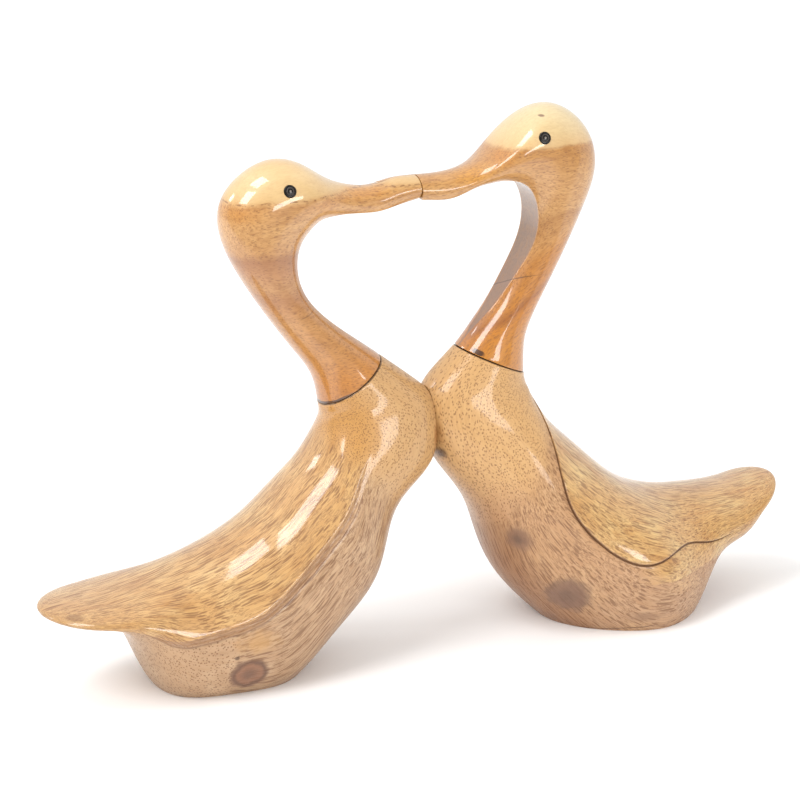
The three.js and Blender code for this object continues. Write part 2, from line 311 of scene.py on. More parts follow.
class Outline:
    """A duck's sections along its length, counted in stations from the tail."""

    steps_per_station = 20

    def __init__(self, sizes: DuckSizes) -> None:
        """Lays the splines through the stations.

        Args:
            sizes: The duck's sizes.
        """
        stations = [*sizes.body, *sizes.head]
        self.joint = len(sizes.body) - 1
        self.tip = len(stations) - 1
        self.head_from = len(sizes.body)
        self.back_x = Spline([s.back[0] for s in stations])
        self.back_z = Spline([s.back[1] for s in stations])
        self.belly_x = Spline([s.belly[0] for s in stations])
        self.belly_z = Spline([s.belly[1] for s in stations])
        self.half = Spline([s.half for s in stations])
        self.flat = Spline([s.flat for s in sizes.head])
        self.wing = Spline([math.radians(s.wing) for s in sizes.body])
        self.step = Spline([s.step for s in sizes.body])
        self.lengths = [0.0]
        for i in range(self.tip * self.steps_per_station):
            start = self.ends(i / self.steps_per_station)
            end = self.ends((i + 1) / self.steps_per_station)
            run = ((end[0] + end[1]) - (start[0] + start[1])).length / 2
            self.lengths.append(self.lengths[-1] + run)

    def ends(self, t: float) -> tuple[Vector, Vector]:
        """The top and the bottom of the section at a place."""
        back = Vector((self.back_x.at(t), 0, self.back_z.at(t)))
        belly = Vector((self.belly_x.at(t), 0, self.belly_z.at(t)))
        return back, belly

    @staticmethod
    def end_round(stations_in: float) -> float:
        """How full the wood is near a rounded end: 0 at the very end, 1 from one station in."""
        depth = min(max(stations_in, 0.0), 1.0)
        return math.sqrt(1 - (1 - depth) ** 2)

    def section(self, t: float) -> Section:
        """The section at a place.

        Args:
            t: The place, in stations from the tail.

        Returns:
            The section there.
        """
        back, belly = self.ends(t)
        fullness = self.end_round(t) * self.end_round(self.tip - t)
        on_body = min(t, self.joint)
        step = min(int(t * self.steps_per_station), len(self.lengths) - 2)
        share = t * self.steps_per_station - step
        return Section(
            middle=(back + belly) / 2,
            up=(back - belly).normalized(),
            height=(back - belly).length / 2 * fullness,
            half=self.half.at(t) * fullness,
            flat=max(self.flat.at(t - self.head_from), LEAST_FLAT) * fullness,
            wing=self.wing.at(on_body),
            step=max(self.step.at(on_body), 0.0),
            along=self.lengths[step] * (1 - share) + self.lengths[step + 1] * share,
        )


@dataclass(frozen=True)
class BodyProfile:
    """The half outline of a body section, from the back down to the belly."""

    edge: WingEdge
    wing_sides: int = 15
    belly_sides: int = 17
    # Below the wing's edge: how far down, in metres, and how proud, as a share of the step.
    cove: tuple[Point, ...] = (
        (0.45 * MM, 0.34),
        (0.85 * MM, -0.22),
        (1.3 * MM, -0.52),
        (2.2 * MM, -0.60),
        (3.2 * MM, -0.46),
        (3.9 * MM, -0.30),
        (4.3 * MM, -0.48),
        (4.8 * MM, -0.34),
    )
    score: tuple[Point, ...] = (
        (0.25 * MM, 0.0),
        (0.5 * MM, -1.1),
        (0.8 * MM, -1.1),
        (1.1 * MM, -0.6),
        (1.6 * MM, -0.45),
        (2.4 * MM, -0.4),
        (3.4 * MM, -0.38),
        (4.8 * MM, -0.34),
    )

    @staticmethod
    def oval(section: Section, angle: float, proud: float) -> Point:
        """A point of the section's oval, moved straight out by proud."""
        out = Vector((section.height * math.sin(angle), section.half * math.cos(angle))).normalized()
        across = section.half * math.sin(angle) + proud * out.x
        high = section.height * math.cos(angle) + proud * out.y
        return across, high

    def spots(self, section: Section) -> list[tuple[float, float, float]]:
        """The half outline's points.

        Args:
            section: The section to outline.

        Returns:
            For each point how far across and how high it lies, and how far it is above the wing's edge.
        """
        found = []
        for i in range(self.wing_sides + 1):
            share = 1 - (1 - i / self.wing_sides) ** 1.35
            proud = section.step / 2 * share**3
            spot = self.oval(section, section.wing * share, proud)
            found.append((*spot, section.wing * (1 - share) * section.half))
        profile = self.cove if self.edge is WingEdge.COVED else self.score
        last = section.wing
        shrink = min(1.0, section.half / (20 * MM))
        for down, proud in profile:
            last = section.wing + down * shrink / section.half
            found.append((*self.oval(section, last, proud * section.step), -down * shrink))
        lowest = profile[-1][1] * section.step
        for i in range(1, self.belly_sides + 1):
            share = i / self.belly_sides
            angle = last + (math.pi - last) * share
            spot = self.oval(section, angle, lowest * (1 - share))
            found.append((*spot, -(angle - section.wing) * section.half))
        return found


@dataclass(frozen=True)
class HeadProfile:
    """The half outline of a neck, head or bill section: a squeezed circle, cut off below by the sawn flat."""

    round_sides: int = 20
    flat_sides: int = 3
    corner: float = 0.35 * MM

    @staticmethod
    def round_at(section: Section, angle: float) -> Point:
        """A point of the round part, angle radians from the crown."""
        cut = HeadProfile.cut_of(section)
        radius = 2 * section.height / (1 + cut)
        return section.half * math.sin(angle), section.height - radius + radius * math.cos(angle)

    @staticmethod
    def cut_of(section: Section) -> float:
        """The cosine of the angle where the flat cuts the round part off, from below."""
        return math.sqrt(1 - min(section.flat / max(section.half, 1e-9), 0.98) ** 2)

    def spots(self, section: Section) -> list[tuple[float, float, float]]:
        """The half outline's points, from the crown down to the middle of the flat.

        Args:
            section: The section to outline.

        Returns:
            For each point how far across and how high it lies, and how far it is inside the flat's edge.
        """
        last = math.acos(-self.cut_of(section))
        corner = min(self.corner / max(section.half, 1e-9), 0.05)
        turns = [last * i / self.round_sides for i in range(self.round_sides)]
        found = []
        for turn in (*turns, last - corner, last):
            found.append((*self.round_at(section, turn), (turn - last) * section.half))
        edge = found[-1][0]
        inner = max(edge - self.corner, edge * 0.5)
        for i in range(self.flat_sides + 1):
            across = inner * (1 - i / self.flat_sides)
            found.append((across, -section.height, edge - across))
        return found


def select_none() -> None:
    """Leaves object mode with nothing selected."""
    if bpy.context.object and bpy.context.object.mode != "OBJECT":
        bpy.ops.object.mode_set(mode="OBJECT")
    bpy.ops.object.select_all(action="DESELECT")


def take(piece: bpy.types.Object) -> None:
    """Makes piece the only selected and the active object."""
    select_none()
    piece.select_set(True)
    bpy.context.view_layer.objects.active = piece


def apply_modifier(piece: bpy.types.Object, kind: str, **settings: object) -> None:
    """Adds a modifier and applies it.

    Args:
        piece: The object that gets it.
        kind: Blender's name of the modifier's type.
        **settings: The modifier's settings.
    """
    take(piece)
    modifier = piece.modifiers.new(kind.lower(), kind)
    for key, value in settings.items():
        setattr(modifier, key, value)
    bpy.ops.object.modifier_apply(modifier=modifier.name)


def face_out(piece: bpy.types.Object) -> None:
    """Turns all of a closed skin's faces outwards."""
    take(piece)
    bpy.ops.object.mode_set(mode="EDIT")
    bpy.ops.mesh.select_all(action="SELECT")
    bpy.ops.mesh.normals_make_consistent(inside=False)
    bpy.ops.object.mode_set(mode="OBJECT")


def shade(piece: bpy.types.Object) -> None:
    """Shades a piece smooth, except across its sharp edges."""
    take(piece)
    bpy.ops.object.shade_smooth_by_angle(angle=SHARP_ANGLE)


def select_rim(piece: bpy.types.Object) -> list[Vector]:
    """Selects the open rim of a skin, and nothing else, in edit mode.

    Args:
        piece: The object in edit mode.

    Returns:
        The places of the rim's vertices.
    """
    bpy.ops.mesh.select_mode(type="EDGE")
    bpy.ops.mesh.select_all(action="DESELECT")
    skin = bmesh.from_edit_mesh(piece.data)
    for edge in skin.edges:
        edge.select_set(edge.is_boundary)
    places = [v.co.copy() for v in skin.verts if v.is_boundary]
    bmesh.update_edit_mesh(piece.data)
    return places


def saw_off(piece: bpy.types.Object, point: Vector, normal: Vector) -> None:
    """Cuts off what lies beyond a plane, closes the cut with a flat face and rubs its rim down a little.

    Args:
        piece: The object to cut.
        point: A point of the plane.
        normal: The plane's normal, towards what goes.
    """
    take(piece)
    bpy.ops.object.mode_set(mode="EDIT")
    bpy.ops.mesh.select_all(action="SELECT")
    above = point - normal * RUBBED_EDGE
    bpy.ops.mesh.bisect(plane_co=above, plane_no=normal, clear_outer=True, threshold=1e-6)
    select_rim(piece)
    bpy.ops.mesh.remove_doubles(threshold=RIM_MERGE)
    rim = select_rim(piece)
    middle = sum(rim, Vector()) / len(rim)
    reach = sum((spot - middle).length for spot in rim) / len(rim)
    bpy.ops.mesh.extrude_edges_move(TRANSFORM_OT_translate={"value": normal * RUBBED_EDGE})
    shrink = 1 - RUBBED_EDGE / reach
    bpy.ops.transform.resize(value=(shrink, shrink, shrink), center_override=middle + normal * RUBBED_EDGE)
    bpy.ops.mesh.edge_face_add()
    bpy.ops.mesh.select_mode(type="VERT")
    bpy.ops.object.mode_set(mode="OBJECT")
    face_out(piece)


def carve(piece: bpy.types.Object, cutter: bpy.types.Object) -> None:
    """Takes a cutter's shape away from a piece and removes the cutter.

    Args:
        piece: The object that is cut.
        cutter: A closed object.
    """
    apply_modifier(piece, "BOOLEAN", object=cutter, operation="DIFFERENCE", solver="EXACT")
    bpy.data.objects.remove(cutter)


class Loft:
    """A closed skin, extruded ring by ring from a circle, as a carver would set out sections along a block."""

    def __init__(self, name: str, first: Sequence[Mark]) -> None:
        """Starts the skin with its first ring.

        Args:
            name: The new object's name.
            first: The first ring's points.
        """
        select_none()
        bpy.ops.mesh.primitive_circle_add(vertices=len(first), radius=1, fill_type="NOTHING")
        self.piece = bpy.context.object
        self.piece.name = name
        self.rings = 0
        bpy.ops.object.mode_set(mode="EDIT")
        skin = bmesh.from_edit_mesh(self.piece.data)
        skin.verts.layers.int.new("spoke")
        skin.verts.layers.int.new("ring")
        skin.verts.layers.float_vector.new("grain")
        for name in ("edge", "dots", "proud"):
            skin.verts.layers.float.new(name)
        spoke = skin.verts.layers.int["spoke"]
        for i, v in enumerate(skin.verts):
            v[spoke] = i
        self._lay(first)

    def _lay(self, marks: Sequence[Mark]) -> None:
        """Puts the selected ring's points in place."""
        skin = bmesh.from_edit_mesh(self.piece.data)
        layers = skin.verts.layers
        spoke, ring = layers.int["spoke"], layers.int["ring"]
        grain, edge = layers.float_vector["grain"], layers.float["edge"]
        dots, proud = layers.float["dots"], layers.float["proud"]
        for v in skin.verts:
            if v.select:
                mark = marks[v[spoke]]
                v.co = mark.place
                v[ring] = self.rings
                v[grain] = mark.grain
                v[edge] = mark.edge
                v[dots] = mark.dots
                v[proud] = mark.proud
        bmesh.update_edit_mesh(self.piece.data)
        self.rings += 1

    def extrude(self, marks: Sequence[Mark]) -> None:
        """Extrudes the last ring to new points.

        Args:
            marks: The new ring's points.
        """
        bpy.ops.mesh.extrude_region_move()
        self._lay(marks)

    def _cap(self, ring_number: int) -> None:
        """Closes the skin at a ring with a fan of faces to its middle."""
        bpy.ops.mesh.select_all(action="DESELECT")
        skin = bmesh.from_edit_mesh(self.piece.data)
        ring = skin.verts.layers.int["ring"]
        for edge in skin.edges:
            if edge.verts[0][ring] == edge.verts[1][ring] == ring_number:
                edge.select_set(True)
        bmesh.update_edit_mesh(self.piece.data)
        bpy.ops.mesh.extrude_region_move()
        bpy.ops.mesh.merge(type="CENTER")

    def finish(self, levels: int) -> bpy.types.Object:
        """Closes both ends and smooths the skin.

        Args:
            levels: How many times its faces are divided.

        Returns:
            The finished object.
        """
        self._cap(0)
        self._cap(self.rings - 1)
        bpy.ops.object.mode_set(mode="OBJECT")
        for name in ("spoke", "ring"):
            self.piece.data.attributes.remove(self.piece.data.attributes[name])
        face_out(self.piece)
        if levels:
            apply_modifier(self.piece, "SUBSURF", levels=levels, render_levels=levels)
        return self.piece


def ring_of(half: Sequence[Mark]) -> list[Mark]:
    """The whole ring of a half outline, from the back round by +Y and home by -Y.

    Args:
        half: The half outline's points on the +Y side, the first and the last in the middle plane.

    Returns:
        The ring's points.
    """
    home = []
    for mark in reversed(half[1:-1]):
        place = mark.place * 1
        place.y = -place.y
        grain = mark.grain * 1
        grain.y = -grain.y
        home.append(replace(mark, place=place, grain=grain))
    return [*half, *home]


def shrunk(ring: Sequence[Mark], by: float) -> list[Mark]:
    """The ring drawn in towards its middle, in its own plane.

    Args:
        ring: The ring's points.
        by: How far it is drawn in, in metres.

    Returns:
        The smaller ring.
    """
    middle = sum((m.place for m in ring), Vector()) / len(ring)
    drawn = []
    for mark in ring:
        way = mark.place - middle
        drawn.append(replace(mark, place=middle + way * max(1 - by / way.length, 0.02)))
    return drawn


class Nodes:
    """A short hand for adding nodes to a tree and linking them."""

    def __init__(self, tree: bpy.types.NodeTree) -> None:
        """Keeps the tree.

        Args:
            tree: The node tree to fill.
        """
        self.tree = tree

    def add(self, kind: str, values: dict | None = None, **settings: object) -> bpy.types.Node:
        """Adds a node.

        Args:
            kind: The node's type, without its ShaderNode.
            values: For each input, a number, a colour or another node's output.
            **settings: The node's own settings.

        Returns:
            The node.
        """
        node = self.tree.nodes.new("ShaderNode" + kind)
        for key, value in settings.items():
            setattr(node, key, value)
        for key, value in (values or {}).items():
            if isinstance(value, Socket):
                self.tree.links.new(value, node.inputs[key])
            else:
                node.inputs[key].default_value = value
        return node

    def math(self, operation: str, *values: float | Socket) -> Socket:
        """The result of a Math node."""
        return self.add("Math", dict(enumerate(values)), operation=operation).outputs[0]

    def vector(self, operation: str, *values: Place | Socket) -> Socket:
        """The vector result of a Vector Math node."""
        return self.add("VectorMath", dict(enumerate(values)), operation=operation).outputs[0]

    def scaled(self, vector: Socket, scale: float | Socket) -> Socket:
        """A vector times a number."""
        node = self.add("VectorMath", {0: vector, "Scale": scale}, operation="SCALE")
        return node.outputs[0]

    def step(self, value: Socket, low: float | Socket, high: float | Socket) -> Socket:
        """A soft step from 0 at low to 1 at high."""
        values = {"Value": value, "From Min": low, "From Max": high}
        return self.add("MapRange", values, interpolation_type="SMOOTHSTEP").outputs[0]

    def mix(self, share: float | Socket, a: object, b: object, blend: str = "MIX") -> Socket:
        """Two colours mixed, b by share over a."""
        values = {0: share, 6: a, 7: b}
        return self.add("Mix", values, data_type="RGBA", blend_type=blend).outputs[2]

    def noise(self, vector: Socket, scale: float, detail: float = 2.0, rough: float = 0.5) -> Socket:
        """Noise from 0 to 1 at a vector."""
        values = {"Vector": vector, "Scale": scale, "Detail": detail, "Roughness": rough}
        return self.add("TexNoise", values).outputs["Fac"]

    def attribute(self, name: str, kind: str = "Fac") -> Socket:
        """What the mesh holds under a name."""
        return self.add("Attribute", attribute_name=name).outputs[kind]

    def group(self, tree: bpy.types.NodeTree, values: dict) -> bpy.types.Node:
        """A node that uses a group, with its values."""
        node = self.add("Group", node_tree=tree)
        for key, value in values.items():
            if isinstance(value, Socket):
                self.tree.links.new(value, node.inputs[key])
            else:
                node.inputs[key].default_value = value
        return node


def colour(tone: Tone) -> tuple[float, float, float, float]:
    """A colour as the shaders read it.

    Args:
        tone: Red, green and blue from 0 to 255, as the photograph shows them in the studio's light.

    Returns:
        The linear colour of the surface itself, with its alpha.
    """
    linear = []
    for part in tone:
        share = part / 255
        value = share / 12.92 if share <= 0.04045 else ((share + 0.055) / 1.055) ** 2.4
        linear.append(value / STUDIO_LIGHT)
    return (*linear, 1.0)


class GroupMaker:
    """A shader node group with named inputs and outputs, built once and placed in each material."""

    floats = "NodeSocketFloat"
    vectors = "NodeSocketVector"

    def __init__(self, name: str, inputs: dict[str, str], outputs: dict[str, str]) -> None:
        """Makes the group with its sockets.

        Args:
            name: The group's name.
            inputs: Each input's name and socket type.
            outputs: Each output's name and socket type.
        """
        self.tree = bpy.data.node_groups.new(name, "ShaderNodeTree")
        for key, kind in inputs.items():
            self.tree.interface.new_socket(key, in_out="INPUT", socket_type=kind)
        for key, kind in outputs.items():
            self.tree.interface.new_socket(key, in_out="OUTPUT", socket_type=kind)
        self.nodes = Nodes(self.tree)
        self.taken = self.tree.nodes.new("NodeGroupInput").outputs
        self.given = self.tree.nodes.new("NodeGroupOutput").inputs

    def give(self, name: str, value: Socket) -> None:
        """Leads a value to one of the group's outputs."""
        self.tree.links.new(value, self.given[name])


def drawn_out(made: GroupMaker) -> Socket:
    """The group's Grain, measured in cells of its Spacing that are its Length times as long along the fibres."""
    n, taken = made.nodes, made.taken
    across = n.math("DIVIDE", 1.0, taken["Spacing"])
    along = n.math("DIVIDE", across, taken["Length"])
    return n.vector("MULTIPLY", taken["Grain"], n.add("CombineXYZ", {0: along, 1: across, 2: across}).outputs[0])


def pore_group() -> bpy.types.NodeTree:
    """Open vessels in the wood: lines where they are long, dots where they are cut across.

    Returns:
        A group with Grain, Spacing, Length and Width in, and Pore out.
    """
    number, vector = GroupMaker.floats, GroupMaker.vectors
    made = GroupMaker(
        "open_pores",
        {"Grain": vector, "Spacing": number, "Length": number, "Width": number},
        {"Pore": number},
    )
    n, taken = made.nodes, made.taken
    cells = n.add("TexVoronoi", {"Vector": drawn_out(made), "Scale": 1.0}, voronoi_dimensions="3D", feature="F1")
    inner = n.math("MULTIPLY", taken["Width"], 0.6)
    made.give("Pore", n.math("SUBTRACT", 1.0, n.step(cells.outputs["Distance"], inner, taken["Width"])))
    return made.tree


def fibre_group() -> bpy.types.NodeTree:
    """Fine fibres: noise drawn out along the grain, and the long lines where it passes through its middle value.

    Returns:
        A group with Grain, Spacing and Length in, and Fibre and Line out.
    """
    number, vector = GroupMaker.floats, GroupMaker.vectors
    made = GroupMaker(
        "wood_fibres",
        {"Grain": vector, "Spacing": number, "Length": number},
        {"Fibre": number, "Line": number},
    )
    n = made.nodes
    fibre = n.noise(drawn_out(made), 1.0, 3.0, 0.6)
    made.give("Fibre", fibre)
    off = n.math("ABSOLUTE", n.math("SUBTRACT", fibre, 0.5))
    made.give("Line", n.math("SUBTRACT", 1.0, n.step(off, 0.012, 0.05)))
    return made.tree


def spot_group() -> bpy.types.NodeTree:
    """An oval mark with a soft, uneven edge.

    Returns:
        A group with Position, Centre, Radii, Softness and Unevenness in, and Mask and Out, which runs from 0 at
        the centre to 1 at the edge, out.
    """
    number, vector = GroupMaker.floats, GroupMaker.vectors
    made = GroupMaker(
        "oval_spot",
        {"Position": vector, "Centre": vector, "Radii": vector, "Softness": number, "Unevenness": number},
        {"Mask": number, "Out": number},
    )
    n, taken = made.nodes, made.taken
    way = n.vector("SUBTRACT", taken["Position"], taken["Centre"])
    far = n.add("VectorMath", {0: n.vector("DIVIDE", way, taken["Radii"])}, operation="LENGTH").outputs["Value"]
    wave = n.math("SUBTRACT", n.noise(taken["Position"], 260.0, 3.0), 0.5)
    far = n.math("MULTIPLY_ADD", wave, taken["Unevenness"], far)
    soft = n.math("SUBTRACT", 1.0, taken["Softness"])
    made.give("Mask", n.math("SUBTRACT", 1.0, n.step(far, soft, 1.0)))
    made.give("Out", far)
    return made.tree


def seam_group() -> bpy.types.NodeTree:
    """A thin line where a plane meets the surface, within reach of a point.

    Returns:
        A group with Position, Point, Normal, Width and Reach in, and Mask out.
    """
    number, vector = GroupMaker.floats, GroupMaker.vectors
    made = GroupMaker(
        "thin_seam",
        {"Position": vector, "Point": vector, "Normal": vector, "Width": number, "Reach": number},
        {"Mask": number},
    )
    n, taken = made.nodes, made.taken
    way = n.vector("SUBTRACT", taken["Position"], taken["Point"])
    off = n.add("VectorMath", {0: way, 1: taken["Normal"]}, operation="DOT_PRODUCT").outputs["Value"]
    wave = n.math("MULTIPLY", n.math("SUBTRACT", n.noise(taken["Position"], 120.0), 0.5), 0.9 * MM)
    off = n.math("ABSOLUTE", n.math("ADD", off, wave))
    far = n.add("VectorMath", {0: way}, operation="LENGTH").outputs["Value"]
    share = n.step(far, taken["Reach"], n.math("MULTIPLY", taken["Reach"], 0.5))
    half = n.math("MULTIPLY", n.math("MULTIPLY", taken["Width"], 0.5), share)
    soft = n.math("ADD", half, 0.15 * MM)
    made.give("Mask", n.math("MULTIPLY", share, n.math("SUBTRACT", 1.0, n.step(off, half, soft))))
    return made.tree


@dataclass(frozen=True)
class Groups:
    """The node groups that the woods share."""

    pores: bpy.types.NodeTree
    fibres: bpy.types.NodeTree
    spot: bpy.types.NodeTree
    seam: bpy.types.NodeTree


@dataclass(frozen=True)
class Knot:
    """A knot or a patch of another colour: its centre, its radii, its colour, how strong it is, and how soft and
    uneven its edge is. A ring darkens a knot's border, and a heart its middle."""

    centre: Place
    radii: Place
    tone: Tone
    strength: float = 0.8
    softness: float = 0.5
    unevenness: float = 0.5
    ring: float = 0.0
    heart: float = 0.0

    def over(self, n: Nodes, groups: Groups, place: Socket, base: Socket) -> Socket:
        """Lays the knot over a colour.

        Args:
            n: The material's nodes.
            groups: The shared node groups.
            place: The position.
            base: The colour so far.

        Returns:
            The colour with the knot.
        """
        values = {
            "Position": place,
            "Centre": self.centre,
            "Radii": self.radii,
            "Softness": self.softness,
            "Unevenness": self.unevenness,
        }
        spot = n.group(groups.spot, values).outputs
        base = n.mix(n.math("MULTIPLY", spot["Mask"], self.strength), base, colour(self.tone))
        darker = colour(tuple(int(part * 0.62) for part in self.tone))
        if self.ring:
            rim = n.math("MULTIPLY", spot["Mask"], n.step(spot["Out"], 0.5, 0.72))
            base = n.mix(n.math("MULTIPLY", rim, self.ring), base, darker)
        if self.heart:
            inside = n.math("SUBTRACT", 1.0, n.step(spot["Out"], 0.05, 0.5))
            base = n.mix(n.math("MULTIPLY", inside, self.heart), base, darker)
        return base


@dataclass(frozen=True)
class Seam:
    """A glue line or a crack: a point of its plane, the plane's normal, its width, how far it runs from the point,
    its colour and its strength."""

    point: Place
    normal: Place
    width: float
    reach: float
    tone: Tone = (58, 30, 16)
    strength: float = 0.85

    def over(self, n: Nodes, groups: Groups, place: Socket, base: Socket) -> Socket:
        """Lays the seam over a colour.

        Args:
            n: The material's nodes.
            groups: The shared node groups.
            place: The position.
            base: The colour so far.

        Returns:
            The colour with the seam.
        """
        values = {
            "Position": place,
            "Point": self.point,
            "Normal": self.normal,
            "Width": self.width,
            "Reach": self.reach,
        }
        mask = n.group(groups.seam, values).outputs[0]
        return n.mix(n.math("MULTIPLY", mask, self.strength), base, colour(self.tone))


@dataclass(frozen=True)
class BodyTones:
    """The colours of a body: of the wing, of the flank below it, of the foot, which is greyer and partly painted
    shade, of the shoulder and the breast next to the neck, and of the painted shade on the belly's underside,
    between the feet and the breast."""

    wing: Tone
    wing_pale: Tone
    wing_deep: Tone
    flank: Tone
    flank_pale: Tone
    flank_deep: Tone
    foot: Tone
    shoulder: Tone
    breast: Tone
    underside_shade: Tone
    pore: Tone = (122, 70, 30)
    # Painted shade: the cove's colour under the wing's edge, and the darker line in its groove or at its foot.
    cove: Tone = (205, 150, 100)
    line: Tone = (118, 76, 46)


@dataclass(frozen=True)
class BodyWood:
    """The bodies' wood: open-pored and fibrous, golden on the wings and greyer below, under a worn gloss, with
    painted shade on the foot and on the belly's underside.
    """

    name: str
    edge: WingEdge
    tones: BodyTones
    knots: tuple[Knot, ...]
    seams: tuple[Seam, ...]
    # Below this the flank turns to the foot's colour: greyer wood and, where it is darker, painted shade towards
    # the floor.
    foot_top: float = 30 * MM
    golden_from: float = 100 * MM
    golden_above: float = 25 * MM
    cove_depth: float = 4.3 * MM
    score_depth: float = 0.65 * MM
    # How deep below the back the painted shade on the belly's underside begins, and where it is full.
    underside_shade_from: float = 44 * MM
    underside_shade_to: float = 58 * MM

    def material(self, groups: Groups) -> bpy.types.Material:
        """Builds the finish.

        Args:
            groups: The shared node groups.

        Returns:
            The material.
        """
        made = bpy.data.materials.new(self.name)
        made.use_nodes = True
        n = Nodes(made.node_tree)
        link = made.node_tree.links.new
        shader = made.node_tree.nodes["Principled BSDF"]
        place = n.add("TexCoord").outputs["Object"]
        drift = n.add("TexNoise", {"Vector": place, "Scale": 40.0, "Detail": 1.0}).outputs["Color"]
        drift = n.scaled(n.vector("SUBTRACT", drift, (0.5, 0.5, 0.5)), 3.0 * MM)
        grain = n.vector("ADD", n.attribute("grain", "Vector"), drift)
        fine = n.group(groups.fibres, {"Grain": grain, "Spacing": 1.0 * MM, "Length": 18.0}).outputs
        on_wing = self.on_wing(n, place)

        base = self.ground(n, groups, place, grain, on_wing)
        pore = self.pores(n, groups, place, grain, fine["Line"])
        base = n.mix(n.math("MULTIPLY", n.step(fine["Fibre"], 0.35, 0.7), 0.25), base, colour((190, 128, 70)))
        base = n.mix(n.math("MULTIPLY", pore, 0.62), base, colour(self.tones.pore))
        base = self.wing_line(n, place, base, on_wing)
        for mark in (*self.knots, *self.seams):
            base = mark.over(n, groups, place, base)

        link(base, shader.inputs["Base Color"])
        link(n.math("MULTIPLY_ADD", pore, 0.2, 0.42), shader.inputs["Roughness"])
        link(n.math("MULTIPLY_ADD", on_wing, 0.5, 0.35), shader.inputs["Coat Weight"])
        shader.inputs["Coat Roughness"].default_value = 0.09
        shader.inputs["Coat IOR"].default_value = 1.6
        height = n.math("MULTIPLY_ADD", pore, -0.06 * MM, n.math("MULTIPLY", fine["Fibre"], 0.05 * MM))
        bump = n.add("Bump", {"Height": height, "Strength": 0.7, "Distance": 1.0}).outputs[0]
        link(bump, shader.inputs["Normal"])
        return made

    def on_wing(self, n: Nodes, place: Socket) -> Socket:
        """Where the wing is: above its edge, which is sharp where it stands proud and fades where it doesn't."""
        proud = n.attribute("proud")
        blur = n.math("MULTIPLY_ADD", n.math("SUBTRACT", 1.0, proud), 9 * MM, 0.5 * MM)
        wing = n.step(n.attribute("edge"), n.math("MULTIPLY", blur, -1.0), n.math("MULTIPLY", blur, 0.6))
        if self.edge is WingEdge.COVED:
            return wing
        at = n.add("SeparateXYZ", {0: place}).outputs
        wave = n.math("MULTIPLY", n.math("SUBTRACT", n.noise(place, 60.0), 0.5), 3 * MM)
        height = n.math("ADD", at["Z"], wave)
        above = n.step(height, self.golden_above - 0.8 * MM, self.golden_above + 0.8 * MM)
        behind = n.step(at["X"], self.golden_from - 12 * MM, self.golden_from + 6 * MM)
        return n.math("MAXIMUM", wing, n.math("MULTIPLY", behind, above))

    def ground(self, n: Nodes, groups: Groups, place: Socket, grain: Socket, on_wing: Socket) -> Socket:
        """The wood's own colour, before pores and marks.

        Args:
            n: The material's nodes.
            groups: The shared node groups.
            place: The position.
            grain: The place along the fibres.
            on_wing: Where the wing is.

        Returns:
            The colour.
        """
        tones = self.tones
        dots = n.attribute("dots")
        cloud = n.noise(place, 42.0, 3.0)
        broad = n.group(groups.fibres, {"Grain": grain, "Spacing": 4.5 * MM, "Length": 7.0}).outputs[0]
        at = n.add("SeparateXYZ", {0: place}).outputs
        deep = n.add("SeparateXYZ", {0: n.attribute("grain", "Vector")}).outputs[2]
        # The foot's colour towards the floor is greyer wood and partly painted shade.
        low = n.math("SUBTRACT", 1.0, n.step(at["Z"], self.foot_top - 20 * MM, self.foot_top + 20 * MM))
        flank = n.mix(low, colour(tones.flank), colour(tones.foot))
        flank = n.mix(n.step(cloud, 0.5, 0.78), flank, colour(tones.flank_pale))
        flank = n.mix(n.math("MULTIPLY", n.step(broad, 0.5, 0.75), 0.6), flank, colour(tones.flank_deep))
        flank = n.mix(n.math("MULTIPLY", dots, n.step(at["Z"], 60 * MM, 85 * MM)), flank, colour(tones.breast))
        # Painted shade: the belly's underside, between the feet and the breast, is painted darker.
        underside_shade = n.step(n.math("MULTIPLY_ADD", n.math("SUBTRACT", cloud, 0.5), 9 * MM, deep), self.underside_shade_from, self.underside_shade_to)
        flank = n.mix(n.math("MULTIPLY", underside_shade, n.math("SUBTRACT", 1.0, dots)), flank, colour(tones.underside_shade))
        wing = n.mix(n.step(cloud, 0.42, 0.72), colour(tones.wing), colour(tones.wing_pale))
        wing = n.mix(n.math("MULTIPLY", n.step(broad, 0.48, 0.72), 0.75), wing, colour(tones.wing_deep))
        wing = n.mix(dots, wing, colour(tones.shoulder))
        return n.mix(on_wing, flank, wing)

    def pores(self, n: Nodes, groups: Groups, place: Socket, grain: Socket, line: Socket) -> Socket:
        """How much of a point is open pore: a dot where the fibres are cut across, and else part of a streak.

        Args:
            n: The material's nodes.
            groups: The shared node groups.
            place: The position.
            grain: The place along the fibres.
            line: The fibres' long lines.

        Returns:
            A share from 0 to 1.
        """
        wave = n.math("SUBTRACT", n.noise(place, 70.0, 3.0), 0.5)
        cut_across = n.step(n.math("MULTIPLY_ADD", wave, 0.9, n.attribute("dots")), 0.35, 0.65)
        long_ones = {"Grain": grain, "Spacing": 1.05 * MM, "Length": 15.0, "Width": 0.42}
        specks = {"Grain": grain, "Spacing": 0.95 * MM, "Length": 1.25, "Width": 0.40}
        streaks = n.math("MAXIMUM", n.group(groups.pores, long_ones).outputs[0], n.math("MULTIPLY", line, 0.7))
        dots = n.group(groups.pores, specks).outputs[0]
        return n.add("Mix", {0: cut_across, 2: streaks, 3: dots}).outputs[0]

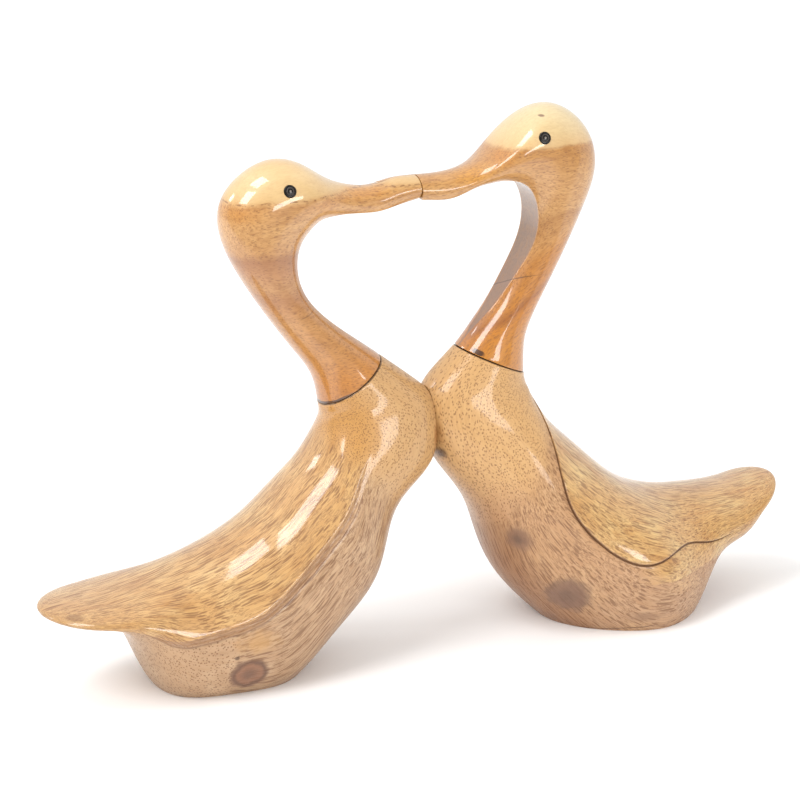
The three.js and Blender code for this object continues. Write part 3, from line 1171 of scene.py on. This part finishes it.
    def wing_line(self, n: Nodes, place: Socket, base: Socket, on_wing: Socket) -> Socket:
        """Lays the wing edge's painted shadow line, and the cove's browner painted shade above it, over a colour.

        Args:
            n: The material's nodes.
            place: The position.
            base: The colour so far.
            on_wing: Where the wing is.

        Returns:
            The colour with the line.
        """
        proud = n.attribute("proud")
        wave = n.math("MULTIPLY", n.math("SUBTRACT", n.noise(place, 110.0), 0.5), 1.0 * MM)
        edge = n.math("ADD", n.attribute("edge"), wave)
        if self.edge is WingEdge.SCORED:
            # Painted shade: the scored groove is painted darker.
            off = n.math("ABSOLUTE", n.math("ADD", edge, self.score_depth))
            scored = n.math("SUBTRACT", 1.0, n.step(off, 0.25 * MM, 0.8 * MM))
            return n.mix(n.math("MULTIPLY", n.math("MULTIPLY", scored, proud), 0.85), base, colour(self.tones.line))
        below = n.math("MULTIPLY", n.math("SUBTRACT", 1.0, on_wing), proud)
        # Painted shade: the cove under the wing's edge is painted browner, and the line at its foot darker.
        inside = n.math("MULTIPLY", n.step(edge, -self.cove_depth - 0.4 * MM, -self.cove_depth + 0.4 * MM), below)
        base = n.mix(n.math("MULTIPLY", inside, 0.4), base, colour(self.tones.cove))
        off = n.math("ABSOLUTE", n.math("ADD", edge, self.cove_depth))
        line = n.math("SUBTRACT", 1.0, n.step(off, 0.1 * MM, 0.6 * MM))
        return n.mix(n.math("MULTIPLY", n.math("MULTIPLY", line, below), 0.5), base, colour(self.tones.line))


@dataclass(frozen=True)
class Layer:
    """A layer of growth in a head's wood: how high it lies, and its colour."""

    height: float
    tone: Tone


@dataclass(frozen=True)
class HeadWood:
    """The heads' wood: finer and more golden, with pale sapwood over the crown, under a full gloss. Below
    slope_from its layers lean by neck_slope about middle_x."""

    name: str
    layers: tuple[Layer, ...]
    sap_line: float
    sap_strength: float
    neck_slope: float
    slope_from: float
    middle_x: float
    knots: tuple[Knot, ...]
    seams: tuple[Seam, ...]
    pore: Tone = (128, 74, 34)
    figure: Tone = (176, 112, 54)
    sawn: Tone = (150, 116, 94)

    def material(self, groups: Groups) -> bpy.types.Material:
        """Builds the finish.

        Args:
            groups: The shared node groups.

        Returns:
            The material.
        """
        made = bpy.data.materials.new(self.name)
        made.use_nodes = True
        n = Nodes(made.node_tree)
        link = made.node_tree.links.new
        shader = made.node_tree.nodes["Principled BSDF"]
        place = n.add("TexCoord").outputs["Object"]
        at = n.add("SeparateXYZ", {0: place}).outputs
        layer = self.layer_height(n, place)
        grain = n.add("CombineXYZ", {0: at["X"], 1: at["Y"], 2: layer}).outputs[0]

        base = self.growth(n, layer)
        for knot in self.knots:
            base = knot.over(n, groups, place, base)
        fine = n.group(groups.fibres, {"Grain": grain, "Spacing": 0.75 * MM, "Length": 4.0}).outputs
        broad = n.group(groups.fibres, {"Grain": grain, "Spacing": 2.0 * MM, "Length": 8.0}).outputs
        below = n.math("SUBTRACT", 1.0, n.step(layer, self.sap_line - 1.5 * MM, self.sap_line + 1.5 * MM))
        strong = n.math("MULTIPLY_ADD", below, 0.32, 0.10)
        base = n.mix(n.math("MULTIPLY", n.step(broad[0], 0.42, 0.72), strong), base, colour(self.figure))
        base = n.mix(n.math("MULTIPLY", n.step(fine[0], 0.42, 0.66), strong), base, colour(self.figure))
        long_ones = {"Grain": grain, "Spacing": 0.9 * MM, "Length": 3.2, "Width": 0.36}
        pore = n.group(groups.pores, long_ones).outputs[0]
        base = n.mix(n.math("MULTIPLY", pore, n.math("MULTIPLY_ADD", below, 0.34, 0.05)), base, colour(self.pore))

        off = n.math("ABSOLUTE", n.math("SUBTRACT", layer, self.sap_line))
        dotted = n.step(n.noise(n.vector("MULTIPLY", grain, (500.0, 500.0, 100.0)), 1.0), 0.45, 0.6)
        on_line = n.math("MULTIPLY", n.math("SUBTRACT", 1.0, n.step(off, 0.15 * MM, 0.5 * MM)), dotted)
        base = n.mix(n.math("MULTIPLY", on_line, self.sap_strength), base, colour(self.pore))

        sawn = n.step(n.attribute("edge"), 0.1 * MM, 0.6 * MM)
        rough_sawn = n.mix(n.math("MULTIPLY", n.step(broad[0], 0.4, 0.7), 0.35), colour(self.sawn), base)
        base = n.mix(n.math("MULTIPLY", sawn, 0.85), base, rough_sawn)
        for seam in self.seams:
            base = seam.over(n, groups, place, base)

        link(base, shader.inputs["Base Color"])
        link(n.math("MULTIPLY_ADD", pore, 0.12, 0.36), shader.inputs["Roughness"])
        shader.inputs["Coat Weight"].default_value = 0.9
        shader.inputs["Coat Roughness"].default_value = 0.05
        shader.inputs["Coat IOR"].default_value = 1.6
        height = n.math("MULTIPLY_ADD", pore, -0.03 * MM, n.math("MULTIPLY", fine[0], 0.03 * MM))
        bump = n.add("Bump", {"Height": height, "Strength": 0.5, "Distance": 1.0}).outputs[0]
        link(bump, shader.inputs["Normal"])
        return made

    def layer_height(self, n: Nodes, place: Socket) -> Socket:
        """How high a point lies in the layers of growth, which wave a little and lean in the neck."""
        at = n.add("SeparateXYZ", {0: place}).outputs
        leaning = n.math("SUBTRACT", 1.0, n.step(at["Z"], self.slope_from - 25 * MM, self.slope_from))
        tilt = n.math("SUBTRACT", at["X"], self.middle_x)
        tilt = n.math("MULTIPLY", tilt, n.math("MULTIPLY", leaning, self.neck_slope))
        drift = n.math("MULTIPLY", n.math("SUBTRACT", n.noise(place, 36.0, 3.0), 0.5), 9 * MM)
        return n.math("ADD", n.math("SUBTRACT", at["Z"], tilt), drift)

    def growth(self, n: Nodes, layer: Socket) -> Socket:
        """The colour of each layer of growth."""
        lowest, highest = self.layers[0].height, self.layers[-1].height
        share = n.add("MapRange", {"Value": layer, "From Min": lowest, "From Max": highest}).outputs[0]
        ramp = n.add("ValToRGB", {"Fac": share})
        stops = ramp.color_ramp.elements
        while len(stops) < len(self.layers):
            stops.new(0.5)
        for stop, growth in zip(stops, self.layers):
            stop.position = (growth.height - lowest) / (highest - lowest)
            stop.color = colour(growth.tone)
        return ramp.outputs["Color"]


@dataclass(frozen=True)
class BeadGloss:
    """The eyes' glossy dark bead, with a thin grey ring and a pale grey centre."""

    name: str = "eye_bead_gloss"
    dark: Tone = (26, 22, 20)
    ring: Tone = (92, 84, 78)
    centre: Tone = (150, 140, 130)

    def material(self) -> bpy.types.Material:
        """Builds the finish.

        Returns:
            The material.
        """
        made = bpy.data.materials.new(self.name)
        made.use_nodes = True
        n = Nodes(made.node_tree)
        shader = made.node_tree.nodes["Principled BSDF"]
        out = n.add("Attribute", attribute_name="edge").outputs["Fac"]
        place = n.add("TexCoord").outputs["Object"]
        worn = n.math("MULTIPLY", n.math("SUBTRACT", n.noise(place, 900.0), 0.5), 0.3 * MM)
        out = n.math("ADD", out, worn)
        off_ring = n.math("ABSOLUTE", n.math("SUBTRACT", out, 1.55 * MM))
        ring = n.math("SUBTRACT", 1.0, n.step(off_ring, 0.1 * MM, 0.35 * MM))
        base = n.mix(n.math("MULTIPLY", ring, 0.7), colour(self.dark), colour(self.ring))
        middle = n.math("SUBTRACT", 1.0, n.step(out, 0.25 * MM, 0.7 * MM))
        base = n.mix(middle, base, colour(self.centre))
        made.node_tree.links.new(base, shader.inputs["Base Color"])
        rough = n.math("MULTIPLY_ADD", n.noise(place, 700.0), 0.25, 0.15)
        made.node_tree.links.new(rough, shader.inputs["Roughness"])
        return made


@dataclass
class Eye:
    """A round bead, inlaid in a socket on one side of a head."""

    name: str
    centre: Vector
    out: Vector
    radius: float = 2.7 * MM
    depth: float = 2 * MM
    sides: int = 32
    # From the rim to the middle: radius, and how far the bead stands out.
    profile: tuple[Point, ...] = (
        (2.70 * MM, -1.8 * MM),
        (2.70 * MM, -0.1 * MM),
        (2.66 * MM, 0.06 * MM),
        (2.50 * MM, 0.17 * MM),
        (2.10 * MM, 0.28 * MM),
        (1.78 * MM, 0.30 * MM),
        (1.66 * MM, 0.20 * MM),
        (1.50 * MM, 0.20 * MM),
        (1.38 * MM, 0.34 * MM),
        (0.95 * MM, 0.46 * MM),
        (0.45 * MM, 0.56 * MM),
        (0.15 * MM, 0.60 * MM),
    )

    def place(self, radius: float, out: float, turn: float) -> Vector:
        """A point of the bead, by its radius, how far out it lies and its angle round."""
        across = self.out.orthogonal().normalized()
        side = self.out.cross(across)
        return self.centre + self.out * out + (across * math.cos(turn) + side * math.sin(turn)) * radius

    def ring(self, radius: float, out: float) -> list[Mark]:
        """A ring of the bead. Its edge value is the radius, which the bead's finish reads."""
        turns = [2 * math.pi * i / self.sides for i in range(self.sides)]
        return [Mark(self.place(radius, out, turn), edge=radius) for turn in turns]

    def bead(self, material: bpy.types.Material) -> bpy.types.Object:
        """Builds the bead.

        Args:
            material: Its finish.

        Returns:
            The bead.
        """
        loft = Loft(self.name, self.ring(*self.profile[0]))
        for radius, out in self.profile[1:]:
            loft.extrude(self.ring(radius, out))
        piece = loft.finish(levels=1)
        shade(piece)
        piece.data.materials.append(material)
        return piece

    def socket(self) -> bpy.types.Object:
        """Builds the cutter that drills the eye's socket."""
        radius = self.radius + GLUE_GAP * 0.6
        loft = Loft("socket", self.ring(radius, -self.depth - GLUE_GAP))
        loft.extrude(self.ring(radius, self.depth))
        return loft.finish(levels=0)


@dataclass
class Duck:
    """One duck: its body, its head and its two eyes."""

    sizes: DuckSizes
    body_wood: bpy.types.Material
    head_wood: bpy.types.Material
    bead: bpy.types.Material
    tail_rings: int = 7
    body_rings: int = 64
    head_rings: int = 74
    bill_rings: int = 6
    neck_gap: float = 0.03
    bill_end: float = 0.01
    levels: int = 1
    fibre_depth: float = 30 * MM
    outline: Outline = field(init=False)

    def __post_init__(self) -> None:
        """Lays the duck out along its stations."""
        self.outline = Outline(self.sizes)

    def body_ring(self, t: float) -> list[Mark]:
        """The body's ring at a place.

        Args:
            t: The place, in stations from the tail.

        Returns:
            The ring's points, with what the wood reads at each.
        """
        section = self.outline.section(t)
        half = []
        for across, high, edge in BodyProfile(self.sizes.edge).spots(section):
            place = section.place(across, high)
            deep = (1 - high / max(section.height, 1e-9)) * self.fibre_depth
            grain = Vector((section.along, across, deep))
            proud = min(section.step / self.sizes.proudest, 1.0)
            half.append(Mark(place, grain, edge, self.dots_at(t, place, edge), proud))
        return ring_of(half)

    def dots_at(self, t: float, place: Vector, edge: float) -> float:
        """How much the fibres are cut across at a point of the body.

        Args:
            t: The point's place, in stations from the tail.
            place: The point.
            edge: How far it lies above the wing's edge.

        Returns:
            A share, 0 where the fibres show as streaks and 1 where they show as dots.
        """
        at_breast = smooth(self.sizes.dots_from, self.sizes.dots_to, t)
        if self.sizes.edge is WingEdge.SCORED:
            return at_breast
        behind_foot = smooth(-98 * MM, -114 * MM, place.x) * smooth(-1 * MM, -6 * MM, edge)
        return max(at_breast, behind_foot)

    def head_ring(self, t: float) -> list[Mark]:
        """The neck's, head's or bill's ring at a place, in stations from the tail."""
        section = self.outline.section(t)
        spots = HeadProfile().spots(section)
        return ring_of([Mark(section.place(across, high), edge=edge) for across, high, edge in spots])

    def make_body(self) -> bpy.types.Object:
        """Builds the body.

        Returns:
            The body, cut flat under the foot and at the breast.
        """
        joint = self.outline.joint
        turns = [math.pi * i / (2 * self.tail_rings) for i in range(1, self.tail_rings + 1)]
        stops = [1 - math.cos(turn) for turn in turns]
        stops += [1 + (joint - 1) * i / self.body_rings for i in range(1, self.body_rings)]
        stops.append(joint - 0.03)
        loft = Loft(f"{self.sizes.name}_duck_body", self.body_ring(stops[0]))
        for t in stops[1:]:
            loft.extrude(self.body_ring(t))
        end = self.body_ring(joint)
        for inset in (0.2 * MM, 1.2 * MM, 6 * MM):
            loft.extrude(shrunk(end, inset))
        body = loft.finish(self.levels)
        saw_off(body, Vector((0, 0, 0)), Vector((0, 0, -1)))
        face = BREAST_X - self.sizes.facing * GLUE_GAP / 2
        saw_off(body, Vector((face, 0, 0)), Vector((self.sizes.facing, 0, 0)))
        shade(body)
        body.data.materials.append(self.body_wood)
        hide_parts(f"{self.sizes.name}_body")
        return body

    def make_head(self, eyes: Sequence[Eye]) -> bpy.types.Object:
        """Builds neck, head and bill.

        Args:
            eyes: The head's two eyes.

        Returns:
            The head, halved at the bill's tip and with a socket for each eye.
        """
        start = self.outline.joint + self.neck_gap
        last_full = self.outline.tip - 1
        stops = [start + 0.02]
        stops += [start + (last_full - start) * i / self.head_rings for i in range(1, self.head_rings + 1)]
        turns = [math.pi * i / (2 * self.bill_rings) for i in range(1, self.bill_rings)]
        stops += [last_full + math.sin(turn) for turn in turns]
        stops.append(self.outline.tip - self.bill_end)
        first = self.head_ring(start)
        loft = Loft(f"{self.sizes.name}_duck_head", shrunk(first, 6 * MM))
        for inset in (1.2 * MM, 0.2 * MM):
            loft.extrude(shrunk(first, inset))
        for t in stops:
            loft.extrude(self.head_ring(t))
        head = loft.finish(self.levels)
        bill_end = BILL_LAP_TO - GLUE_GAP if self.sizes.facing > 0 else BILL_LAP_FROM + GLUE_GAP
        saw_off(head, Vector((bill_end, 0, 0)), Vector((self.sizes.facing, 0, 0)))
        carve(head, self.bill_cutter())
        for eye in eyes:
            carve(head, eye.socket())
        shade(head)
        head.data.materials.append(self.head_wood)
        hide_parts(f"{self.sizes.name}_head")
        return head

    def bill_cutter(self) -> bpy.types.Object:
        """Builds the block that is cut away from this duck's bill, where the other's lies."""
        reach = 60 * MM
        if self.sizes.facing > 0:
            low = Vector((BILL_LAP_FROM, -GLUE_GAP / 2, LAP_HEIGHT))
            high = low + Vector((reach, reach, 2 * reach))
        else:
            high = Vector((BILL_LAP_TO, GLUE_GAP / 2, LAP_HEIGHT + 2 * reach))
            low = high - Vector((reach, reach, 2 * reach))
        select_none()
        bpy.ops.mesh.primitive_cube_add(size=1, location=(low + high) / 2, scale=high - low)
        bpy.ops.object.transform_apply(location=True, rotation=True, scale=True)
        return bpy.context.object

    def make_eye(self, where: str, side: int) -> Eye:
        """Places an eye.

        Args:
            where: The eye's side, near or far.
            side: The sign of its y.

        Returns:
            The eye, on the head's surface and facing straight out.
        """
        angle = math.radians(self.sizes.eye_angle)

        def surface(station: float, turn: float) -> Vector:
            """The head's surface at a station and an angle."""
            section = self.outline.section(station)
            across, high = HeadProfile.round_at(section, turn)
            return section.place(side * across, high)

        small = 0.02
        centre = surface(self.sizes.eye_station, angle)
        along = surface(self.sizes.eye_station + small, angle) - centre
        down = surface(self.sizes.eye_station, angle + small) - centre
        out = along.cross(down).normalized()
        if out.y * side < 0:
            out = -out
        return Eye(f"{self.sizes.name}_duck_eye_{where}", centre, out)

    def build(self) -> list[bpy.types.Object]:
        """Builds all of the duck's pieces.

        Returns:
            The pieces.
        """
        name = self.sizes.name
        eyes = {"near": self.make_eye("near", -1), "far": self.make_eye("far", 1)}
        body = self.make_body()
        head = self.make_head(list(eyes.values()))
        pieces = [body, head]
        for where, eye in eyes.items():
            bead = eye.bead(self.bead)
            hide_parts(f"{name}_eye_{where}")
            pieces.append(bead)
        for piece in pieces:
            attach(piece, "root")
        return pieces


@dataclass(frozen=True)
class Softbox:
    """A flat studio light that faces the ducks: where it stands, its size and its strength."""

    name: str
    azimuth: float
    elevation: float
    distance: float
    width: float
    height: float
    power: float


@dataclass(frozen=True)
class Studio:
    """A white room with a pale floor, softboxes and the photograph's camera. What shines sees the room darker on
    the camera's side, as it is where no paper hangs, and sees the floor there painted dark: a painted dark
    reflection."""

    target: Place = (-0.0115, 0.0, 0.117)
    azimuth: float = -25.0
    elevation: float = 19.0
    distance: float = 1.4
    lens: float = 140.0
    room: float = 0.985
    # How bright the room looks to what shines on the camera's side, and the colour of the floor's painted dark
    # reflection there.
    dark_side: float = 0.22
    floor_size: float = 12.0
    floor_white: float = 0.97
    # How far in front of the ducks the floor's painted dark reflection begins.
    dark_reflection_from: float = 0.22
    boxes: tuple[Softbox, ...] = (
        Softbox("window", -70, 43, 1.6, 0.55, 0.6, 9.0),
        Softbox("overhead", -85, 68, 1.5, 0.6, 0.4, 6.0),
        Softbox("low", 12, 11, 1.5, 0.9, 0.22, 5.0),
        Softbox("behind", -122, 31, 1.6, 0.3, 0.3, 2.5),
    )

    @staticmethod
    def toward(azimuth: float, elevation: float) -> Vector:
        """The direction from the ducks to a place, by its bearing from -Y and its height, in degrees."""
        a, e = math.radians(azimuth), math.radians(elevation)
        return Vector((math.sin(a) * math.cos(e), -math.cos(a) * math.cos(e), math.sin(e)))

    def add_camera(self) -> None:
        """Sets the camera at the photograph's viewing angle."""
        data = bpy.data.cameras.new("camera")
        data.lens = self.lens
        data.sensor_width = 36.0
        camera = bpy.data.objects.new("camera", data)
        bpy.context.scene.collection.objects.link(camera)
        back = self.toward(self.azimuth, self.elevation)
        camera.location = Vector(self.target) + back * self.distance
        camera.rotation_mode = "QUATERNION"
        camera.rotation_quaternion = (-back).to_track_quat("-Z", "Y")
        bpy.context.scene.camera = camera

    def toward_camera(self, n: Nodes, place: Socket) -> Socket:
        """How far a place or a direction lies towards the photograph's camera, along the floor."""
        way = self.toward(self.azimuth, 0)
        return n.add("VectorMath", {0: place, 1: way}, operation="DOT_PRODUCT").outputs["Value"]

    def add_floor(self) -> None:
        """Lays the pale floor. What shines sees it painted dark in front, on the camera's side: a painted dark
        reflection.
        """
        select_none()
        bpy.ops.mesh.primitive_plane_add(size=self.floor_size)
        floor = bpy.context.object
        floor.name = "studio_floor"
        paper = bpy.data.materials.new("white_paper")
        paper.use_nodes = True
        n = Nodes(paper.node_tree)
        shader = paper.node_tree.nodes["Principled BSDF"]
        # Painted dark reflection: what shines sees the floor dark in front.
        in_front = n.step(self.toward_camera(n, n.add("TexCoord").outputs["Object"]), 0.8 * self.dark_reflection_from, self.dark_reflection_from * 1.6)
        shiny = n.math("MULTIPLY", n.add("LightPath").outputs["Is Glossy Ray"], in_front)
        white, dark = (self.floor_white,) * 3, (self.dark_side,) * 3
        paper.node_tree.links.new(n.mix(shiny, (*white, 1), (*dark, 1)), shader.inputs["Base Color"])
        shader.inputs["Roughness"].default_value = 0.6
        shader.inputs["Specular IOR Level"].default_value = 0.1
        floor.data.materials.append(paper)
        floor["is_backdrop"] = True

    def add_room(self) -> None:
        """Lights the white room."""
        world = bpy.data.worlds.new("white_room")
        world.use_nodes = True
        n = Nodes(world.node_tree)
        light = world.node_tree.nodes["Background"]
        facing = n.step(self.toward_camera(n, n.add("TexCoord").outputs["Generated"]), -0.25, 0.35)
        shiny = n.math("MULTIPLY", n.add("LightPath").outputs["Is Glossy Ray"], facing)
        strength = n.math("MULTIPLY_ADD", shiny, self.dark_side - self.room, self.room)
        light.inputs["Color"].default_value = (1, 1, 1, 1)
        world.node_tree.links.new(strength, light.inputs["Strength"])
        bpy.context.scene.world = world
        bpy.context.scene.view_settings.view_transform = "Standard"

    def add_boxes(self) -> None:
        """Hangs the softboxes."""
        for box in self.boxes:
            data = bpy.data.lights.new(box.name, "AREA")
            data.shape = "RECTANGLE"
            data.size = box.width
            data.size_y = box.height
            data.energy = box.power
            lamp = bpy.data.objects.new(box.name, data)
            bpy.context.scene.collection.objects.link(lamp)
            way = self.toward(box.azimuth, box.elevation)
            lamp.location = Vector(self.target) + way * box.distance
            lamp.rotation_mode = "QUATERNION"
            lamp.rotation_quaternion = way.to_track_quat("Z", "Y")

    def build(self) -> None:
        """Builds the studio."""
        self.add_camera()
        self.add_floor()
        self.add_room()
        self.add_boxes()


def joint_of(sizes: DuckSizes) -> tuple[Place, Place]:
    """The plane of a duck's neck joint.

    Args:
        sizes: The duck's sizes.

    Returns:
        The middle of the joint and the plane's normal.
    """
    back, belly = sizes.body[-1].back, sizes.body[-1].belly
    way = Vector((belly[0] - back[0], 0, belly[1] - back[1])).normalized()
    middle = ((back[0] + belly[0]) / 2, 0.0, (back[1] + belly[1]) / 2)
    return middle, (-way.z, 0.0, way.x)


def left_body_wood() -> BodyWood:
    """The left body's finish."""
    middle, normal = joint_of(LEFT)
    return BodyWood(
        name="left_body_wood",
        edge=LEFT.edge,
        tones=BodyTones(
            wing=(240, 186, 116),
            wing_pale=(252, 206, 138),
            wing_deep=(212, 152, 84),
            flank=(226, 184, 140),
            flank_pale=(236, 198, 156),
            flank_deep=(190, 148, 106),
            foot=(212, 170, 126),
            shoulder=(232, 170, 90),
            breast=(236, 186, 124),
            underside_shade=(206, 168, 130),
        ),
        knots=(
            Knot((-0.0968, -0.0355, 0.0282), (0.014, 0.014, 0.007), (232, 176, 104), 0.6, 0.9, 0.9),
            Knot((-0.1000, -0.0323, 0.0123), (0.0105, 0.0105, 0.0098), (160, 106, 72), 0.9, 0.35, 0.35, 0.7, 0.5),
            Knot((-0.1063, -0.0343, 0.0219), (0.0015, 0.003, 0.0012), (96, 60, 34), 0.8),
            Knot((-0.1750, -0.0172, 0.0461), (0.006, 0.006, 0.0014), (140, 90, 40), 0.5),
            Knot((0.0008, -0.0125, 0.1010), (0.0030, 0.008, 0.0085), (196, 126, 56), 0.7, 0.9),
            Knot((0.0008, -0.0060, 0.0905), (0.0025, 0.008, 0.0040), (84, 54, 34), 0.8, 0.7),
        ),
        seams=(Seam(middle, normal, 0.5 * MM, 60 * MM, strength=0.7),),
    )


def right_body_wood() -> BodyWood:
    """The right body's finish."""
    middle, normal = joint_of(RIGHT)
    return BodyWood(
        name="right_body_wood",
        edge=RIGHT.edge,
        tones=BodyTones(
            wing=(244, 190, 116),
            wing_pale=(254, 212, 140),
            wing_deep=(222, 158, 82),
            flank=(226, 174, 122),
            flank_pale=(238, 190, 136),
            flank_deep=(196, 146, 98),
            foot=(220, 174, 130),
            shoulder=(236, 182, 112),
            breast=(242, 190, 124),
            underside_shade=(186, 130, 80),
        ),
        knots=(
            Knot((0.0366, -0.0244, 0.0505), (0.0095, 0.0095, 0.0085), (152, 108, 78), 0.85, 0.6, 0.5, 0.0, 0.5),
            Knot((0.0602, -0.0296, 0.0202), (0.0135, 0.0135, 0.0130), (142, 102, 78), 0.88, 0.55, 0.5, 0.3, 0.3),
            Knot((0.0943, -0.0418, 0.0083), (0.0130, 0.02, 0.0040), (168, 126, 92), 0.7, 0.8, 0.9),
            Knot((0.0048, -0.0079, 0.0915), (0.0042, 0.0060, 0.0045), (92, 62, 44), 0.75, 0.7, 0.8),
            Knot((0.0020, -0.0120, 0.1010), (0.0035, 0.008, 0.0085), (200, 130, 58), 0.6, 0.9),
        ),
        seams=(
            Seam(middle, normal, 0.4 * MM, 60 * MM, strength=0.7),
            Seam((0.0850, -0.0340, 0.0016), (-0.09, 0, 1), 0.25 * MM, 26 * MM, (96, 62, 38), 0.8),
        ),
    )


def left_head_wood() -> HeadWood:
    """The left head's finish."""
    middle, normal = joint_of(LEFT)
    back_x, back_z = LEFT.body[-1].back
    return HeadWood(
        name="left_head_wood",
        sap_line=219.4 * MM,
        sap_strength=0.6,
        neck_slope=0.0,
        slope_from=200 * MM,
        middle_x=-75 * MM,
        layers=(
            Layer(0.118, (206, 132, 62)),
            Layer(0.134, (230, 152, 66)),
            Layer(0.146, (226, 158, 84)),
            Layer(0.163, (226, 164, 96)),
            Layer(0.171, (214, 150, 86)),
            Layer(0.175, (200, 136, 78)),
            Layer(0.181, (220, 160, 94)),
            Layer(0.188, (208, 144, 84)),
            Layer(0.1945, (190, 126, 70)),
            Layer(0.1985, (226, 166, 98)),
            Layer(0.207, (236, 180, 112)),
            Layer(0.2170, (232, 172, 102)),
            Layer(0.2215, (246, 204, 140)),
            Layer(0.230, (254, 218, 158)),
            Layer(0.236, (250, 208, 142)),
        ),
        knots=(
            Knot((-0.0900, -0.0080, 0.2150), (0.0110, 0.0110, 0.0060), (222, 150, 66), 0.6, 0.9, 0.9),
            Knot((-0.0560, -0.0100, 0.2170), (0.0180, 0.0120, 0.0050), (236, 166, 82), 0.6, 0.9, 0.9),
            Knot((-0.0330, -0.0050, 0.2175), (0.0220, 0.0100, 0.0040), (238, 164, 66), 0.7, 0.8, 0.9),
        ),
        seams=(
            Seam(middle, normal, 0.6 * MM, 60 * MM),
            Seam((back_x, 0.0, back_z), normal, 2.6 * MM, 26 * MM),
            Seam((-0.0605, -0.0106, 0.1666), (-0.28, 0, 0.96), 0.3 * MM, 6 * MM, strength=0.4),
        ),
    )


def right_head_wood() -> HeadWood:
    """The right head's finish."""
    middle, normal = joint_of(RIGHT)
    return HeadWood(
        name="right_head_wood",
        sap_line=229.4 * MM,
        sap_strength=0.15,
        neck_slope=0.62,
        slope_from=212 * MM,
        middle_x=55 * MM,
        layers=(
            Layer(0.120, (218, 138, 52)),
            Layer(0.150, (230, 150, 44)),
            Layer(0.163, (226, 144, 46)),
            Layer(0.1655, (186, 112, 44)),
            Layer(0.169, (224, 146, 56)),
            Layer(0.180, (220, 148, 66)),
            Layer(0.186, (230, 170, 100)),
            Layer(0.1955, (210, 152, 88)),
            Layer(0.198, (232, 176, 108)),
            Layer(0.216, (234, 176, 106)),
            Layer(0.222, (228, 166, 92)),
            Layer(0.2285, (222, 158, 82)),
            Layer(0.2303, (250, 206, 142)),
            Layer(0.236, (254, 220, 160)),
            Layer(0.245, (255, 230, 176)),
        ),
        knots=(
            Knot((0.0200, -0.0090, 0.2200), (0.0150, 0.0110, 0.0060), (240, 168, 62), 0.7, 0.8, 0.9),
            Knot((0.0330, -0.0100, 0.2270), (0.0080, 0.0110, 0.0060), (226, 150, 64), 0.6, 0.9, 0.9),
            Knot((0.0534, -0.0085, 0.2435), (0.0018, 0.0025, 0.0006), (130, 84, 62), 0.8),
        ),
        seams=(
            Seam(middle, normal, 0.5 * MM, 60 * MM),
            Seam((0.0225, -0.0101, 0.1380), normal, 2.2 * MM, 4 * MM),
            Seam((0.0402, -0.0022, 0.1669), (0.038, 0.415, 0.909), 0.35 * MM, 20 * MM, (104, 64, 36), 0.7),
        ),
    )


def main() -> None:
    """Builds the studio and the two ducks."""
    logging.basicConfig(level=logging.INFO, format="%(message)s")
    frame_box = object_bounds()
    Studio().build()
    groups = Groups(pore_group(), fibre_group(), spot_group(), seam_group())
    bead = BeadGloss().material()
    woods = (
        (LEFT, left_body_wood(), left_head_wood()),
        (RIGHT, right_body_wood(), right_head_wood()),
    )
    for sizes, body, head in woods:
        duck = Duck(sizes, body.material(groups), head.material(groups), bead)
        for piece in duck.build():
            LOG.info("%s: %d faces", piece.name, len(piece.data.polygons))
    select_none()
    sizes = {"cad": [list(corner) for corner in frame_box], "visual": [list(corner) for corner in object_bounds()]}


if __name__ == "__main__":
    main()
